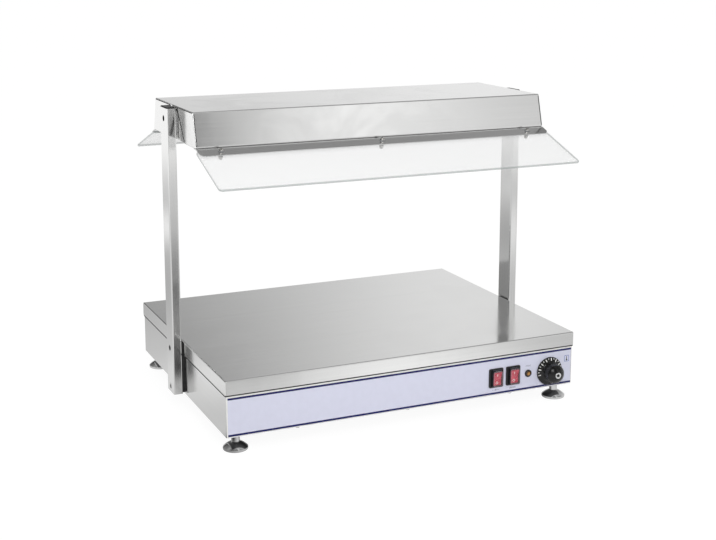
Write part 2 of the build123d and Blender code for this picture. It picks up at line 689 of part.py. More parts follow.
# Feet: a turned bell on a threaded stud, with a nut welded over each hole in the bottom plate
FOOT_RADIUS = FOOT_DIAMETER / 2
NECK_RADIUS = FOOT_NECK / 2
for end, end_sign in (("front", -1), ("rear", 1)):
    for side, side_sign in SIDES.items():
        foot_x = side_sign * FOOT_X
        foot_y = end_sign * FOOT_Y
        with BuildPart() as foot:
            with BuildSketch(Plane(origin=(foot_x, foot_y, 0), x_dir=(1, 0, 0), z_dir=(0, -1, 0))):
                with BuildLine():
                    sole = Line((0, 0), (FOOT_RADIUS - FOOT_RIM_ROUND, 0))
                    edge = RadiusArc(sole @ 1, (FOOT_RADIUS, FOOT_RIM_ROUND), -FOOT_RIM_ROUND)
                    rim = Line(edge @ 1, (FOOT_RADIUS, FOOT_RIM))
                    bell = ThreePointArc(rim @ 1, (15.4, 8.6), (NECK_RADIUS + 1.4, FOOT_SHOULDER))
                    Polyline(
                        bell @ 1,
                        (NECK_RADIUS, FOOT_SHOULDER + 1.2),
                        (NECK_RADIUS, FOOT_TOP),
                        (STUD_DIAMETER / 2, FOOT_TOP),
                        (STUD_DIAMETER / 2, STUD_TOP - 1),
                        (STUD_DIAMETER / 2 - 1, STUD_TOP),
                        (0, STUD_TOP),
                        (0, 0),
                    )
                make_face()
            revolve(axis=Axis((foot_x, foot_y, 0), (0, 0, 1)))
        write_piece(foot, f"foot_{end}_{side}")

with BuildPart() as foot_nuts:
    with BuildSketch(Plane.XY.offset(WALL_BOTTOM)):
        with GridLocations(2 * FOOT_X, 2 * FOOT_Y, 2, 2):
            RegularPolygon(FOOT_NUT_RADIUS, 6)
            Circle(STUD_DIAMETER / 2 + 0.1, mode=Mode.SUBTRACT)
    extrude(amount=FOOT_NUT_HEIGHT)
write_piece(foot_nuts, "foot_nuts")

# Posts: rectangular tubes with access holes outside, bolt holes inside and a cable way
for side, sign in SIDES.items():
    middle = sign * POST_MIDDLE
    outer_face = side_plane(sign, POST_INNER_FACE + POST_WIDTH)
    inner_face = side_plane(sign, POST_INNER_FACE)
    bolt_heights = BASE_BOLT_HEIGHTS + (HOOD_BOLT_HEIGHT,)
    with BuildPart() as post:
        with BuildSketch(Plane(origin=(middle, 0, WALL_BOTTOM))):
            RectangleRounded(POST_WIDTH, POST_DEPTH, POST_RADIUS)
            RectangleRounded(
                POST_WIDTH - 2 * POST_WALL,
                POST_DEPTH - 2 * POST_WALL,
                POST_RADIUS - POST_WALL,
                mode=Mode.SUBTRACT,
            )
        extrude(amount=POST_TOP - WALL_BOTTOM)
        with BuildSketch(outer_face):
            with Locations(*[(0, height) for height in bolt_heights]):
                Circle(ACCESS_HOLE / 2)
        extrude(amount=-POST_WALL - 1, mode=Mode.SUBTRACT)
        with BuildSketch(inner_face):
            with Locations(*[(0, height) for height in bolt_heights]):
                Circle(BOLT_HOLE / 2)
            with Locations((sign * CABLE_Y, CABLE_BASE_HEIGHT), (sign * CABLE_Y, CABLE_HOOD_HEIGHT)):
                Circle(CABLE_HOLE / 2)
        extrude(amount=POST_WALL + 1, mode=Mode.SUBTRACT)
    write_piece(post, f"{side}_post")

    with BuildPart() as post_cap:
        with BuildSketch(Plane(origin=(middle, 0, POST_TOP))):
            RectangleRounded(POST_WIDTH, POST_DEPTH, POST_RADIUS)
        extrude(amount=CAP_SHEET)
        chamfer(post_cap.faces().sort_by(Axis.Z)[-1].edges(), 1.4)
        with BuildSketch(Plane(origin=(middle, 0, POST_TOP))):
            RectangleRounded(POST_WIDTH - 2 * POST_WALL - 0.2, POST_DEPTH - 2 * POST_WALL - 0.2, 1)
        extrude(amount=-CAP_PLUG)
    write_piece(post_cap, f"{side}_post_cap")

    with BuildPart() as base_spacer:
        with BuildSketch(Plane.XZ.offset(-SPACER_DEPTH / 2)):
            with BuildLine():
                Polyline(
                    (sign * WALL_X, WALL_BOTTOM + 1),
                    (sign * POST_INNER_FACE, WALL_BOTTOM + 1),
                    (sign * POST_INNER_FACE, PLATE_TOP - 1),
                    (sign * BASE_WIDTH / 2, PLATE_TOP - 1),
                    (sign * BASE_WIDTH / 2, PLATE_TOP - SKIRT_HEIGHT - 0.3),
                    (sign * WALL_X, PLATE_TOP - SKIRT_HEIGHT - 0.3),
                    close=True,
                )
            make_face()
        extrude(amount=SPACER_DEPTH)
        with BuildSketch(inner_face):
            with Locations(*[(0, height) for height in BASE_BOLT_HEIGHTS]):
                Circle(BOLT_HOLE / 2)
            with Locations((sign * CABLE_Y, CABLE_BASE_HEIGHT)):
                Circle(CABLE_HOLE / 2)
        extrude(amount=-10, mode=Mode.SUBTRACT)
    write_piece(base_spacer, f"{side}_base_spacer")

# Flat spacers between the posts and the hood ends
with BuildPart() as hood_spacers:
    for sign in SIDES.values():
        with BuildSketch(side_plane(sign, END_FACE)):
            with Locations((0, HOOD_BOLT_HEIGHT - 7)):
                Rectangle(SPACER_DEPTH, 40)
            with Locations((0, HOOD_BOLT_HEIGHT)):
                Circle(BOLT_HOLE / 2, mode=Mode.SUBTRACT)
            with Locations((sign * CABLE_Y, CABLE_HOOD_HEIGHT)):
                Circle(CABLE_HOLE / 2, mode=Mode.SUBTRACT)
        extrude(amount=POST_INNER_FACE - END_FACE)
write_piece(hood_spacers, "hood_spacers")

# Post bolts and the nuts welded behind the walls and the hood ends
bolt_faces = [(height, WALL_X - WALL_SHEET) for height in BASE_BOLT_HEIGHTS]
bolt_faces.append((HOOD_BOLT_HEIGHT, END_INNER_FACE))
with BuildPart() as post_bolts:
    for sign in SIDES.values():
        for height, nut_face in bolt_faces:
            seat = side_plane(sign, POST_INNER_FACE + POST_WALL, height)
            with BuildSketch(seat):
                Circle(BOLT_HEAD / 2)
            extrude(amount=BOLT_HEAD_TALL)
            with BuildSketch(seat.offset(BOLT_HEAD_TALL)):
                RegularPolygon(BOLT_SOCKET, 6)
            extrude(amount=-BOLT_HEAD_TALL / 2, mode=Mode.SUBTRACT)
            with BuildSketch(seat):
                Circle(BOLT_DIAMETER / 2)
            extrude(amount=nut_face - 7 - POST_INNER_FACE - POST_WALL)
write_piece(post_bolts, "post_bolts")

with BuildPart() as post_nuts:
    for sign in SIDES.values():
        for height, nut_face in bolt_faces:
            with BuildSketch(side_plane(sign, nut_face, height)):
                RegularPolygon(NUT_RADIUS, 6)
                Circle(NUT_BORE / 2, mode=Mode.SUBTRACT)
            extrude(amount=-NUT_HEIGHT)
write_piece(post_nuts, "post_nuts")

# Hood shell: one folded sheet with leaning faces, inward lips and tabs wrapped over each end
with BuildPart() as hood_shell:
    with BuildSketch(Plane.YZ.offset(-HOOD_HALF_LENGTH)):
        with BuildLine():
            FilletPolyline(
                (-HOOD_HALF_BOTTOM + HOOD_LIP, HOOD_BOTTOM),
                (-HOOD_HALF_BOTTOM, HOOD_BOTTOM),
                (-HOOD_HALF_TOP, HOOD_TOP),
                (HOOD_HALF_TOP, HOOD_TOP),
                (HOOD_HALF_BOTTOM, HOOD_BOTTOM),
                (HOOD_HALF_BOTTOM - HOOD_LIP, HOOD_BOTTOM),
                radius=HOOD_BEND,
            )
            offset(amount=HOOD_SHEET, side=Side.RIGHT)
        make_face()
    extrude(amount=2 * HOOD_HALF_LENGTH)
    for end_plane in (Plane.YZ.offset(END_FACE), Plane.YZ.offset(-HOOD_HALF_LENGTH)):
        with BuildSketch(end_plane) as tabs:
            for sign in SIDES.values():
                with BuildLine():
                    Polyline(
                        (sign * HOOD_HALF_BOTTOM, HOOD_BOTTOM),
                        (sign * HOOD_HALF_TOP, HOOD_TOP),
                        (sign * TAB_TOP_Y, HOOD_TOP),
                        (sign * TAB_FOOT_Y, HOOD_BOTTOM + TAB_FOOT_RISE),
                        (sign * TAB_TIP_Y, HOOD_BOTTOM),
                        close=True,
                    )
                make_face()
            fillet([corner for corner in tabs.vertices() if abs(corner.X) > HOOD_HALF_TOP - 1], HOOD_BEND)
        extrude(amount=HOOD_SHEET)
    with BuildSketch(Plane.XY.offset(HOOD_BOTTOM - 1)):
        with GridLocations(RIVET_STEP, 2 * RIVET_Y, 4, 2):
            Circle(RIVET_HOLE / 2)
    extrude(amount=4, mode=Mode.SUBTRACT)
    for end_index in (0, -1):
        rim = hood_shell.faces().sort_by(Axis.X)[end_index].outer_wire().edges()
        outer_rim = [edge for edge in rim if abs(edge.center().Y) > HOOD_HALF_TOP - 1]
        outer_rim += [edge for edge in rim if edge.center().Z > HOOD_TOP - 0.1]
        fillet(outer_rim, HOOD_END_ROUND)
write_piece(hood_shell, "hood_shell")

# Hood ends: flat plates inside the tabs, bolted to the posts
LEAN = (HOOD_HALF_BOTTOM - HOOD_HALF_TOP) / HOOD_HEIGHT
END_BOTTOM = HOOD_BOTTOM + HOOD_SHEET + 0.2
END_TOP = HOOD_TOP - HOOD_SHEET - 0.05
END_MARGIN = HOOD_SHEET + 0.1
for side, sign in SIDES.items():
    end_face = side_plane(sign, END_FACE)
    low_half = HOOD_HALF_BOTTOM - LEAN * (END_BOTTOM - HOOD_BOTTOM) - END_MARGIN
    top_half = HOOD_HALF_TOP + LEAN * (HOOD_TOP - END_TOP) - END_MARGIN
    with BuildPart() as hood_end:
        with BuildSketch(end_face) as end_plate:
            with BuildLine():
                Polyline(
                    (-low_half, END_BOTTOM),
                    (low_half, END_BOTTOM),
                    (top_half, END_TOP),
                    (-top_half, END_TOP),
                    close=True,
                )
            make_face()
            fillet(end_plate.vertices(), END_CORNER)
            with Locations((0, HOOD_BOLT_HEIGHT)):
                Circle(BOLT_HOLE / 2, mode=Mode.SUBTRACT)
            with Locations((sign * CABLE_Y, CABLE_HOOD_HEIGHT)):
                Circle(CABLE_HOLE / 2, mode=Mode.SUBTRACT)
        extrude(amount=-HOOD_SHEET)
        with BuildSketch(end_face.offset(-HOOD_SHEET)):
            with Locations((0, END_BOTTOM + HOOD_SHEET / 2)):
                Rectangle(2 * (HOOD_HALF_BOTTOM - HOOD_LIP - 2), HOOD_SHEET)
        extrude(amount=-10)
    write_piece(hood_end, f"{side}_hood_end")

# Reflector: a bright double trough with a ridge between the two lamps
with BuildPart() as reflector:
    with BuildSketch(Plane.YZ.offset(-END_INNER_FACE)):
        with BuildLine():
            Polyline(
                (-112, 481),
                (-94, REFLECTOR_TOP),
                (-20, REFLECTOR_TOP),
                (0, REFLECTOR_TOP - 13),
                (20, REFLECTOR_TOP),
                (94, REFLECTOR_TOP),
                (112, 481),
            )
            offset(amount=REFLECTOR_SHEET, side=Side.RIGHT)
        make_face()
    extrude(amount=2 * END_INNER_FACE)
write_piece(reflector, "reflector")

# Heat lamps: quartz tubes with metal caps, each between two ceramic holders
HOLDER_BOTTOM = LAMP_HEIGHT - HOLDER_DROP
HOLDER_TOP = REFLECTOR_TOP - REFLECTOR_SHEET
with BuildPart() as lamp_holders:
    for sign in SIDES.values():
        with BuildSketch(Plane.YZ.offset(-HOLDER_OUTER if sign < 0 else HOLDER_INNER)):
            for row in SIDES.values():
                with Locations((row * LAMP_Y, (HOLDER_BOTTOM + HOLDER_TOP) / 2)):
                    Rectangle(HOLDER_WIDTH, HOLDER_TOP - HOLDER_BOTTOM)
                with Locations((row * LAMP_Y, LAMP_HEIGHT)):
                    Circle(LAMP_DIAMETER / 2 + 0.05, mode=Mode.SUBTRACT)
        extrude(amount=HOLDER_OUTER - HOLDER_INNER)
write_piece(lamp_holders, "lamp_holders")

for end, sign in (("front", -1), ("rear", 1)):
    with BuildPart() as lamp:
        with BuildSketch(Plane.YZ.offset(-LAMP_HALF_LENGTH)):
            with Locations((sign * LAMP_Y, LAMP_HEIGHT)):
                Circle(LAMP_DIAMETER / 2)
        extrude(amount=2 * LAMP_HALF_LENGTH)
        fillet(lamp.edges().filter_by(GeomType.CIRCLE), 1.5)
    write_piece(lamp, f"{end}_heat_lamp")

# Lamp wiring: a block on the reflector, and a cable from the light switch up the right post
with BuildPart() as hood_terminal:
    with Locations((270, CABLE_Y + 24, REFLECTOR_TOP)):
        Box(40, 30, 14, align=ON_FLOOR)
write_piece(hood_terminal, "hood_terminal")

lamp_cable_points = [
    (SWITCH_X["light"], -PANEL_Y + SWITCH_DEPTH + 9.3, SWITCH_HEIGHT - 14),
    (SWITCH_X["light"], -120, SWITCH_HEIGHT - 14),
    (200, CABLE_Y, SWITCH_HEIGHT - 14),
    (285, CABLE_Y, CABLE_BASE_HEIGHT),
    (POST_MIDDLE, CABLE_Y, CABLE_BASE_HEIGHT),
    (POST_MIDDLE, CABLE_Y, CABLE_HOOD_HEIGHT),
    (318, CABLE_Y, CABLE_HOOD_HEIGHT),
    (302, CABLE_Y + 16, CABLE_HOOD_HEIGHT),
    (290.2, CABLE_Y + 16, CABLE_HOOD_HEIGHT),
]
with BuildPart() as lamp_cable:
    with BuildLine() as cable_route:
        FilletPolyline(*lamp_cable_points, radius=[60, 50, 30, 7, 7, 10, 10])
    with BuildSketch(Plane(origin=cable_route.line @ 0, z_dir=cable_route.line % 0)):
        Circle(CABLE_DIAMETER / 2)
    sweep(path=cable_route.line)
write_piece(lamp_cable, "lamp_cable")

# Glass guards, front and rear: a bent rail under the hood lip, a tilted glass and its through-bolts
SCREW_SPOTS_ON_RAIL = [(x, -GUARD_SCREW_REACH) for x in (-GUARD_SCREW_X, 0, GUARD_SCREW_X)]
GLASS_TOP = -RAIL_SHEET - WASHER_SHEET
GLASS_UNDER = GLASS_TOP - GLASS_SHEET
NUT_TOP = GLASS_UNDER - WASHER_SHEET
for end, sign in (("front", -1), ("rear", 1)):
    slope = guard_plane(sign)
    leg_y = sign * (BEND_Y - RAIL_LEG / 2)
    with BuildPart() as guard_rail:
        with BuildSketch(slope) as flange:
            with Locations((0, -RAIL_FLANGE / 2)):
                Rectangle(2 * HOOD_HALF_LENGTH, RAIL_FLANGE)
            fillet(flange.vertices().sort_by(Axis.Y)[:2], RAIL_CORNER)
            with Locations(*SCREW_SPOTS_ON_RAIL):
                Circle(GUARD_HOLE / 2, mode=Mode.SUBTRACT)
        extrude(amount=-RAIL_SHEET)
        with Locations((0, leg_y, RAIL_TOP - RAIL_SHEET)):
            Box(2 * HOOD_HALF_LENGTH, RAIL_LEG, RAIL_SHEET, align=ON_FLOOR)
        with BuildSketch(Plane.XY.offset(HOOD_BOTTOM - 3)):
            with Locations(*[(step * RIVET_STEP, sign * RIVET_Y) for step in (-1.5, -0.5, 0.5, 1.5)]):
                Circle(RIVET_HOLE / 2)
        extrude(amount=4, mode=Mode.SUBTRACT)
    write_piece(guard_rail, f"{end}_guard_rail")

    with BuildPart() as guard_glass:
        with BuildSketch(slope.offset(GLASS_TOP)):
            with Locations((0, -(GLASS_START + GLASS_END) / 2)):
                RectangleRounded(GLASS_LENGTH, GLASS_END - GLASS_START, GLASS_CORNER)
            with Locations(*SCREW_SPOTS_ON_RAIL):
                Circle(GLASS_HOLE / 2, mode=Mode.SUBTRACT)
        extrude(amount=-GLASS_SHEET)
        glass_rims = [face.outer_wire() for face in guard_glass.faces().filter_by(slope)]
        chamfer([edge for rim in glass_rims for edge in rim.edges()], 0.5)
    write_piece(guard_glass, f"{end}_guard_glass")

    with BuildPart() as guard_screws:
        with BuildSketch(slope.offset(WASHER_SHEET)):
            with Locations(*SCREW_SPOTS_ON_RAIL):
                Circle(GUARD_SCREW_HEAD / 2)
        extrude(amount=GUARD_SCREW_TALL)
        head_tops = guard_screws.faces().sort_by(Axis(slope.origin, slope.z_dir))[-3:]
        fillet(head_tops.edges(), GUARD_SCREW_ROUND)
        with BuildSketch(slope.offset(WASHER_SHEET)):
            with Locations(*SCREW_SPOTS_ON_RAIL):
                Circle(GUARD_SCREW / 2)
        extrude(amount=NUT_TOP - WASHER_SHEET - GUARD_NUT_DEPTH + 0.5)
    write_piece(guard_screws, f"{end}_guard_screws")

    with BuildPart() as guard_washers:
        for level in (WASHER_SHEET, -RAIL_SHEET, GLASS_UNDER):
            with BuildSketch(slope.offset(level)):
                with Locations(*SCREW_SPOTS_ON_RAIL):
                    Circle(WASHER_DIAMETER / 2)
                    Circle(GUARD_HOLE / 2, mode=Mode.SUBTRACT)
            extrude(amount=-WASHER_SHEET)
    write_piece(guard_washers, f"{end}_guard_washers")

    with BuildPart() as guard_nuts:
        with BuildSketch(slope.offset(NUT_TOP)):
            with Locations(*SCREW_SPOTS_ON_RAIL):
                RegularPolygon(GUARD_NUT_RADIUS, 6)
        extrude(amount=-GUARD_NUT_HEX)
        with BuildSketch(slope.offset(NUT_TOP - GUARD_NUT_HEX)):
            with Locations(*SCREW_SPOTS_ON_RAIL):
                Circle(GUARD_NUT_DOME / 2)
        extrude(amount=-GUARD_NUT_CAP)
        caps = guard_nuts.faces().sort_by(Axis(slope.origin, slope.z_dir))[:3]
        fillet(caps.edges(), GUARD_NUT_DOME / 2 - 0.3)
        with BuildSketch(slope.offset(NUT_TOP)):
            with Locations(*SCREW_SPOTS_ON_RAIL):
                Circle(GUARD_NUT_BORE / 2)
        extrude(amount=-GUARD_NUT_DEPTH, mode=Mode.SUBTRACT)
    write_piece(guard_nuts, f"{end}_guard_nuts")

# Rivets that hold the rails to the hood lips
with BuildPart() as rail_rivets:
    with BuildSketch(Plane.XY.offset(RAIL_TOP - RAIL_SHEET)):
        with GridLocations(RIVET_STEP, 2 * RIVET_Y, 4, 2):
            Circle(RIVET_HEAD / 2)
    extrude(amount=-1.2)
    with BuildSketch(Plane.XY.offset(RAIL_TOP - RAIL_SHEET)):
        with GridLocations(RIVET_STEP, 2 * RIVET_Y, 4, 2):
            Circle(RIVET_DIAMETER / 2)
    extrude(amount=RAIL_SHEET + RAIL_PLAY + HOOD_SHEET)
write_piece(rail_rivets, "rail_rivets")
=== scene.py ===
"""Dresses the heat lamp food warmer and sets it in a plain white studio.

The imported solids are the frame. Everything here is in metres, +Z up, with the
control panel facing -Y. Each class below looks after one sub-assembly: it gives
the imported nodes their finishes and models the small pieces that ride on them.
"""
import logging
import math
from dataclasses import dataclass, field
from enum import Enum
from typing import Callable

import bpy
from mathutils import Matrix, Vector


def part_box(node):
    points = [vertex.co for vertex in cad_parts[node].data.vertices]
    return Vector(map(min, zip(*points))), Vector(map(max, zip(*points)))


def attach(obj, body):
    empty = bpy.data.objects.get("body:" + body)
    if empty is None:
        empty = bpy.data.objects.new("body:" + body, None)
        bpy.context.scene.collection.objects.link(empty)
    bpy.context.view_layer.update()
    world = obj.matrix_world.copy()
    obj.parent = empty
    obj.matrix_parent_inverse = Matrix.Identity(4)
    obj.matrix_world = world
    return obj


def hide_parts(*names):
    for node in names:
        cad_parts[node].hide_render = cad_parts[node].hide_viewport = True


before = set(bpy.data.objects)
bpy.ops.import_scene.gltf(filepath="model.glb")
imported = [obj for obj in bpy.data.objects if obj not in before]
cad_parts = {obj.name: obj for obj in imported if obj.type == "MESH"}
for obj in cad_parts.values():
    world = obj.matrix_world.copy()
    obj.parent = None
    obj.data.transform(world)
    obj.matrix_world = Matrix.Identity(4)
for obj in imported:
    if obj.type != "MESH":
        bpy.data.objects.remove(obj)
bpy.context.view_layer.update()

logging.basicConfig(level=logging.INFO, format="%(message)s")
log = logging.getLogger("warmer")

MM = 0.001
Piece = bpy.types.Object
Material = bpy.types.Material
Tree = bpy.types.NodeTree
Node = bpy.types.Node
Socket = bpy.types.NodeSocket
Colour = tuple[float, float, float]
Place = tuple[float, float, float]
Size = tuple[float, float]
Band = tuple[float, float]
FaceTest = Callable[[Vector, Vector], bool]
UPRIGHT = Matrix.Rotation(math.radians(90), 4, "X")
SMOOTH_UP_TO = math.radians(35)
SQUARE_ON = 0.9


# Modelling by hand, in code

def clear_selection() -> None:
    """Go back to object mode with nothing selected."""
    if bpy.context.mode != "OBJECT":
        bpy.ops.object.mode_set(mode="OBJECT")
    bpy.ops.object.select_all(action="DESELECT")


def activate(*pieces: Piece) -> None:
    """Select these pieces alone.

    Args:
        pieces: the objects to select; the first becomes the active one.
    """
    clear_selection()
    for piece in pieces:
        piece.select_set(True)
    bpy.context.view_layer.objects.active = pieces[0]


def edit_all(piece: Piece) -> None:
    """Open a piece in edit mode with all of it selected.

    Args:
        piece: the mesh object.
    """
    activate(piece)
    bpy.ops.object.mode_set(mode="EDIT")
    bpy.ops.mesh.select_all(action="SELECT")


def edit_faces(piece: Piece, test: FaceTest) -> None:
    """Open a piece in edit mode with some of its faces selected.

    Args:
        piece: the mesh object.
        test: tells from a face's centre and normal whether it is wanted.
    """
    activate(piece)
    bpy.context.tool_settings.mesh_select_mode = (False, False, True)
    bpy.ops.object.mode_set(mode="EDIT")
    bpy.ops.mesh.select_all(action="DESELECT")
    bpy.ops.object.mode_set(mode="OBJECT")
    for face in piece.data.polygons:
        face.select = test(face.center, face.normal)
    bpy.ops.object.mode_set(mode="EDIT")


def apply_modifier(piece: Piece, kind: str, **settings: object) -> None:
    """Add one modifier to a piece and apply it.

    Args:
        piece: the mesh object.
        kind: the modifier's type.
        settings: the modifier's properties.
    """
    activate(piece)
    modifier = piece.modifiers.new(kind.title(), kind)
    for key, value in settings.items():
        setattr(modifier, key, value)
    bpy.ops.object.modifier_apply(modifier=modifier.name)


def copy_piece(piece: Piece, turn: Matrix) -> Piece:
    """Copy a piece with its own mesh, moved by a matrix.

    Args:
        piece: the modelled piece.
        turn: where the copy goes, as a 4x4 matrix.

    Returns:
        The copy, with its place in its mesh.
    """
    twin = piece.copy()
    twin.data = piece.data.copy()
    bpy.context.collection.objects.link(twin)
    twin.data.transform(turn)
    return twin


def join(pieces: list[Piece]) -> Piece:
    """Join several pieces into the first one.

    Args:
        pieces: the pieces.

    Returns:
        The one that is left.
    """
    activate(*pieces)
    if len(pieces) > 1:
        bpy.ops.object.join()
    return bpy.context.view_layer.objects.active


def place(piece: Piece, where: Matrix) -> Piece:
    """Move a piece's mesh by a matrix.

    Args:
        piece: the mesh object.
        where: the matrix.

    Returns:
        The same object.
    """
    clear_selection()
    piece.data.transform(where)
    piece.data.update()
    return piece


def finish_piece(piece: Piece, name: str, body: str, finish: "Finish") -> Piece:
    """Name a modelled piece, dress it and hang it on its body.

    Args:
        piece: the mesh object, with its place in its mesh.
        name: what the piece is called.
        body: the body that it rides on.
        finish: what it is made of.

    Returns:
        The same object.
    """
    activate(piece)
    bpy.ops.object.transform_apply(location=True, rotation=True, scale=True)
    bpy.ops.object.shade_smooth_by_angle(angle=SMOOTH_UP_TO)
    piece.name = name
    piece.data.name = name
    piece.data.materials.clear()
    piece.data.materials.append(finish.material())
    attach(piece, body)
    clear_selection()
    log.info("modelled %s, riding %s", name, body)
    return piece


def flat_bar(size: Size, thickness: float, rounding: float, line: float = 0.0) -> Piece:
    """Model a thin bar or frame lying in XY, with its back at z 0.

    Args:
        size: its size along X and Y.
        thickness: how far it stands up.
        rounding: the radius of its four corners.
        line: the width of a frame's border, or 0 for a full bar.

    Returns:
        The bar.
    """
    clear_selection()
    bpy.ops.mesh.primitive_plane_add(size=1.0)
    bar = bpy.context.object
    edit_all(bar)
    bpy.ops.transform.resize(value=(*size, 1.0))
    bpy.ops.mesh.bevel(offset=rounding, segments=5, affect="VERTICES")
    if line:
        open_middle(bar, line)
    apply_modifier(bar, "SOLIDIFY", thickness=thickness, offset=1.0)
    return bar


def open_middle(piece: Piece, line: float) -> None:
    """Cut the middle out of a flat face.

    Args:
        piece: the flat mesh object.
        line: the width of the border that is left.
    """
    edit_faces(piece, lambda centre, normal: True)
    bpy.ops.mesh.inset(thickness=line)
    bpy.ops.mesh.delete(type="FACE")


def turned_blank(radius: float, low: float, high: float, sides: int) -> Piece:
    """Start a turned piece: a short round bar along Z, with its place in its mesh.

    Args:
        radius: its radius.
        low: the height of its foot.
        high: the height of its top.
        sides: how many sides stand for the round.

    Returns:
        The bar.
    """
    clear_selection()
    bpy.ops.mesh.primitive_cylinder_add(vertices=sides, radius=radius, depth=high - low,
                                        location=(0, 0, (low + high) / 2))
    bpy.ops.object.transform_apply(location=True, rotation=False, scale=False)
    return bpy.context.object


def flat_ring(outer: float, inner: float, thickness: float) -> Piece:
    """Model a thin ring or disc lying in XY, with its back at z 0.

    Args:
        outer: its outer radius.
        inner: its inner radius, or 0 for a disc.
        thickness: how far it stands up.

    Returns:
        The ring.
    """
    clear_selection()
    bpy.ops.mesh.primitive_circle_add(vertices=40, radius=outer, fill_type="NGON")
    ring = bpy.context.object
    if inner:
        open_middle(ring, outer - inner)
    apply_modifier(ring, "SOLIDIFY", thickness=thickness, offset=1.0)
    return ring


def wavy_bar(length: float, width: float, swing: float, thickness: float) -> Piece:
    """Model one rising wave of warmth, along Y in the XY plane.

    Args:
        length: how tall the wave is.
        width: the width of its line.
        swing: how far it sways to each side.
        thickness: how far it stands up.

    Returns:
        The wave.
    """
    clear_selection()
    bpy.ops.mesh.primitive_grid_add(x_subdivisions=1, y_subdivisions=24, size=1.0)
    wave = bpy.context.object
    edit_all(wave)
    bpy.ops.transform.resize(value=(width, length, 1.0))
    clear_selection()
    for vertex in wave.data.vertices:
        vertex.co.x += swing * math.sin(math.tau * vertex.co.y / length)
    apply_modifier(wave, "SOLIDIFY", thickness=thickness, offset=1.0)
    return wave


# Node trees

class Bench:
    """Puts nodes into one tree and wires them up."""

    def __init__(self, tree: Tree) -> None:
        """Work on this tree."""
        self.tree = tree

    def feed(self, socket: Socket, value: object) -> None:
        """Join an output to a socket, or set the socket to a plain value.

        Args:
            socket: the socket.
            value: an output or a plain value.
        """
        if isinstance(value, Socket):
            self.tree.links.new(value, socket)
        elif socket.type == "RGBA" and len(value) == 3:
            socket.default_value = (*value, 1.0)
        else:
            socket.default_value = value

    def fill(self, node: Node, **inputs: object) -> Node:
        """Feed a node's sockets by name.

        Args:
            node: the node.
            inputs: values or outputs by socket name, with _ for a space.

        Returns:
            The node.
        """
        for key, value in inputs.items():
            self.feed(node.inputs[key.replace("_", " ")], value)
        return node

    def fill_in_order(self, node: Node, *values: object) -> Node:
        """Feed a node's sockets in their order.

        Args:
            node: the node.
            values: values or outputs, from the first socket on.

        Returns:
            The node.
        """
        for socket, value in zip(node.inputs, values):
            self.feed(socket, value)
        return node

    def add(self, kind: str, settings: dict[str, object] | None = None, **inputs: object) -> Node:
        """Add a node.

        Args:
            kind: the node's type.
            settings: properties to set on it.
            inputs: values or outputs by socket name, with _ for a space.

        Returns:
            The node.
        """
        node = self.tree.nodes.new(kind)
        for key, value in (settings or {}).items():
            setattr(node, key, value)
        return self.fill(node, **inputs)

    def math(self, operation: str, *values: object, clamp: bool = False) -> Socket:
        """Add a Math node and return its output."""
        node = self.add("ShaderNodeMath", {"operation": operation, "use_clamp": clamp})
        return self.fill_in_order(node, *values).outputs[0]

    def vector(self, operation: str, *values: object) -> Node:
        """Add a Vector Math node and return it."""
        node = self.add("ShaderNodeVectorMath", {"operation": operation})
        return self.fill_in_order(node, *values)

    def spread(self, value: Socket, start: float, end: float, low: object = 0.0,
               high: object = 1.0) -> Socket:
        """Map a value smoothly from start..end to low..high and return the output."""
        return self.add("ShaderNodeMapRange", {"interpolation_type": "SMOOTHSTEP"}, Value=value,
                        From_Min=start, From_Max=end, To_Min=low, To_Max=high).outputs["Result"]

    def between(self, mask: Socket, band: Band) -> Socket:
        """Map a mask smoothly to a band of values and return the output."""
        return self.spread(mask, 0.0, 1.0, *band)

    def mix(self, factor: object, first: object, second: object) -> Socket:
        """Mix two values and return the output."""
        return self.add("ShaderNodeMix", Factor=factor, A=first, B=second).outputs["Result"]

    def blend(self, factor: object, first: object, second: object) -> Socket:
        """Mix two colours.

        Args:
            factor: how much of the second one shows.
            first: a colour or an output.
            second: a colour or an output.

        Returns:
            The output.
        """
        node = self.add("ShaderNodeMix", {"data_type": "RGBA"})
        for index, value in ((0, factor), (6, first), (7, second)):
            self.feed(node.inputs[index], value)
        return node.outputs[2]

    def vary(self, mask: Socket, colour: Colour, tones: Band) -> Socket:
        """Mix a darker and a lighter tone of a colour by a mask and return the output."""
        return self.blend(mask, shade(colour, tones[0]), shade(colour, tones[1]))

    def mix_shaders(self, factor: Socket, first: Node, second: Node) -> Socket:
        """Mix what two shader nodes put out and return the output."""
        node = self.add("ShaderNodeMixShader")
        return self.fill_in_order(node, factor, first.outputs[0], second.outputs[0]).outputs[0]

    def bump(self, height: Socket, strength: float, relief: float) -> Socket:
        """Turn heights into a normal and return the output."""
        return self.add("ShaderNodeBump", Strength=strength, Distance=relief,
                        Height=height).outputs["Normal"]

    def place_coordinates(self) -> Socket:
        """Return the Object coordinates."""
        return self.add("ShaderNodeTexCoord").outputs["Object"]

    def facing(self, axis: str) -> Socket:
        """Return one axis of the piece's own surface normal."""
        normal = self.add("ShaderNodeTexCoord").outputs["Normal"]
        return self.add("ShaderNodeSeparateXYZ", Vector=normal).outputs[axis]

    def use(self, group: Tree, size: object, where: Socket | None = None) -> dict[str, Socket]:
        """Place a node group.

        Args:
            group: the group, with Coordinates as its first input and its scale as its second.
            size: that scale.
            where: the coordinates, or none for the Object coordinates.

        Returns:
            Its outputs by name.
        """
        node = self.add("ShaderNodeGroup", {"node_tree": group})
        where = self.place_coordinates() if where is None else where
        return {output.name: output for output in self.fill_in_order(node, where, size).outputs}


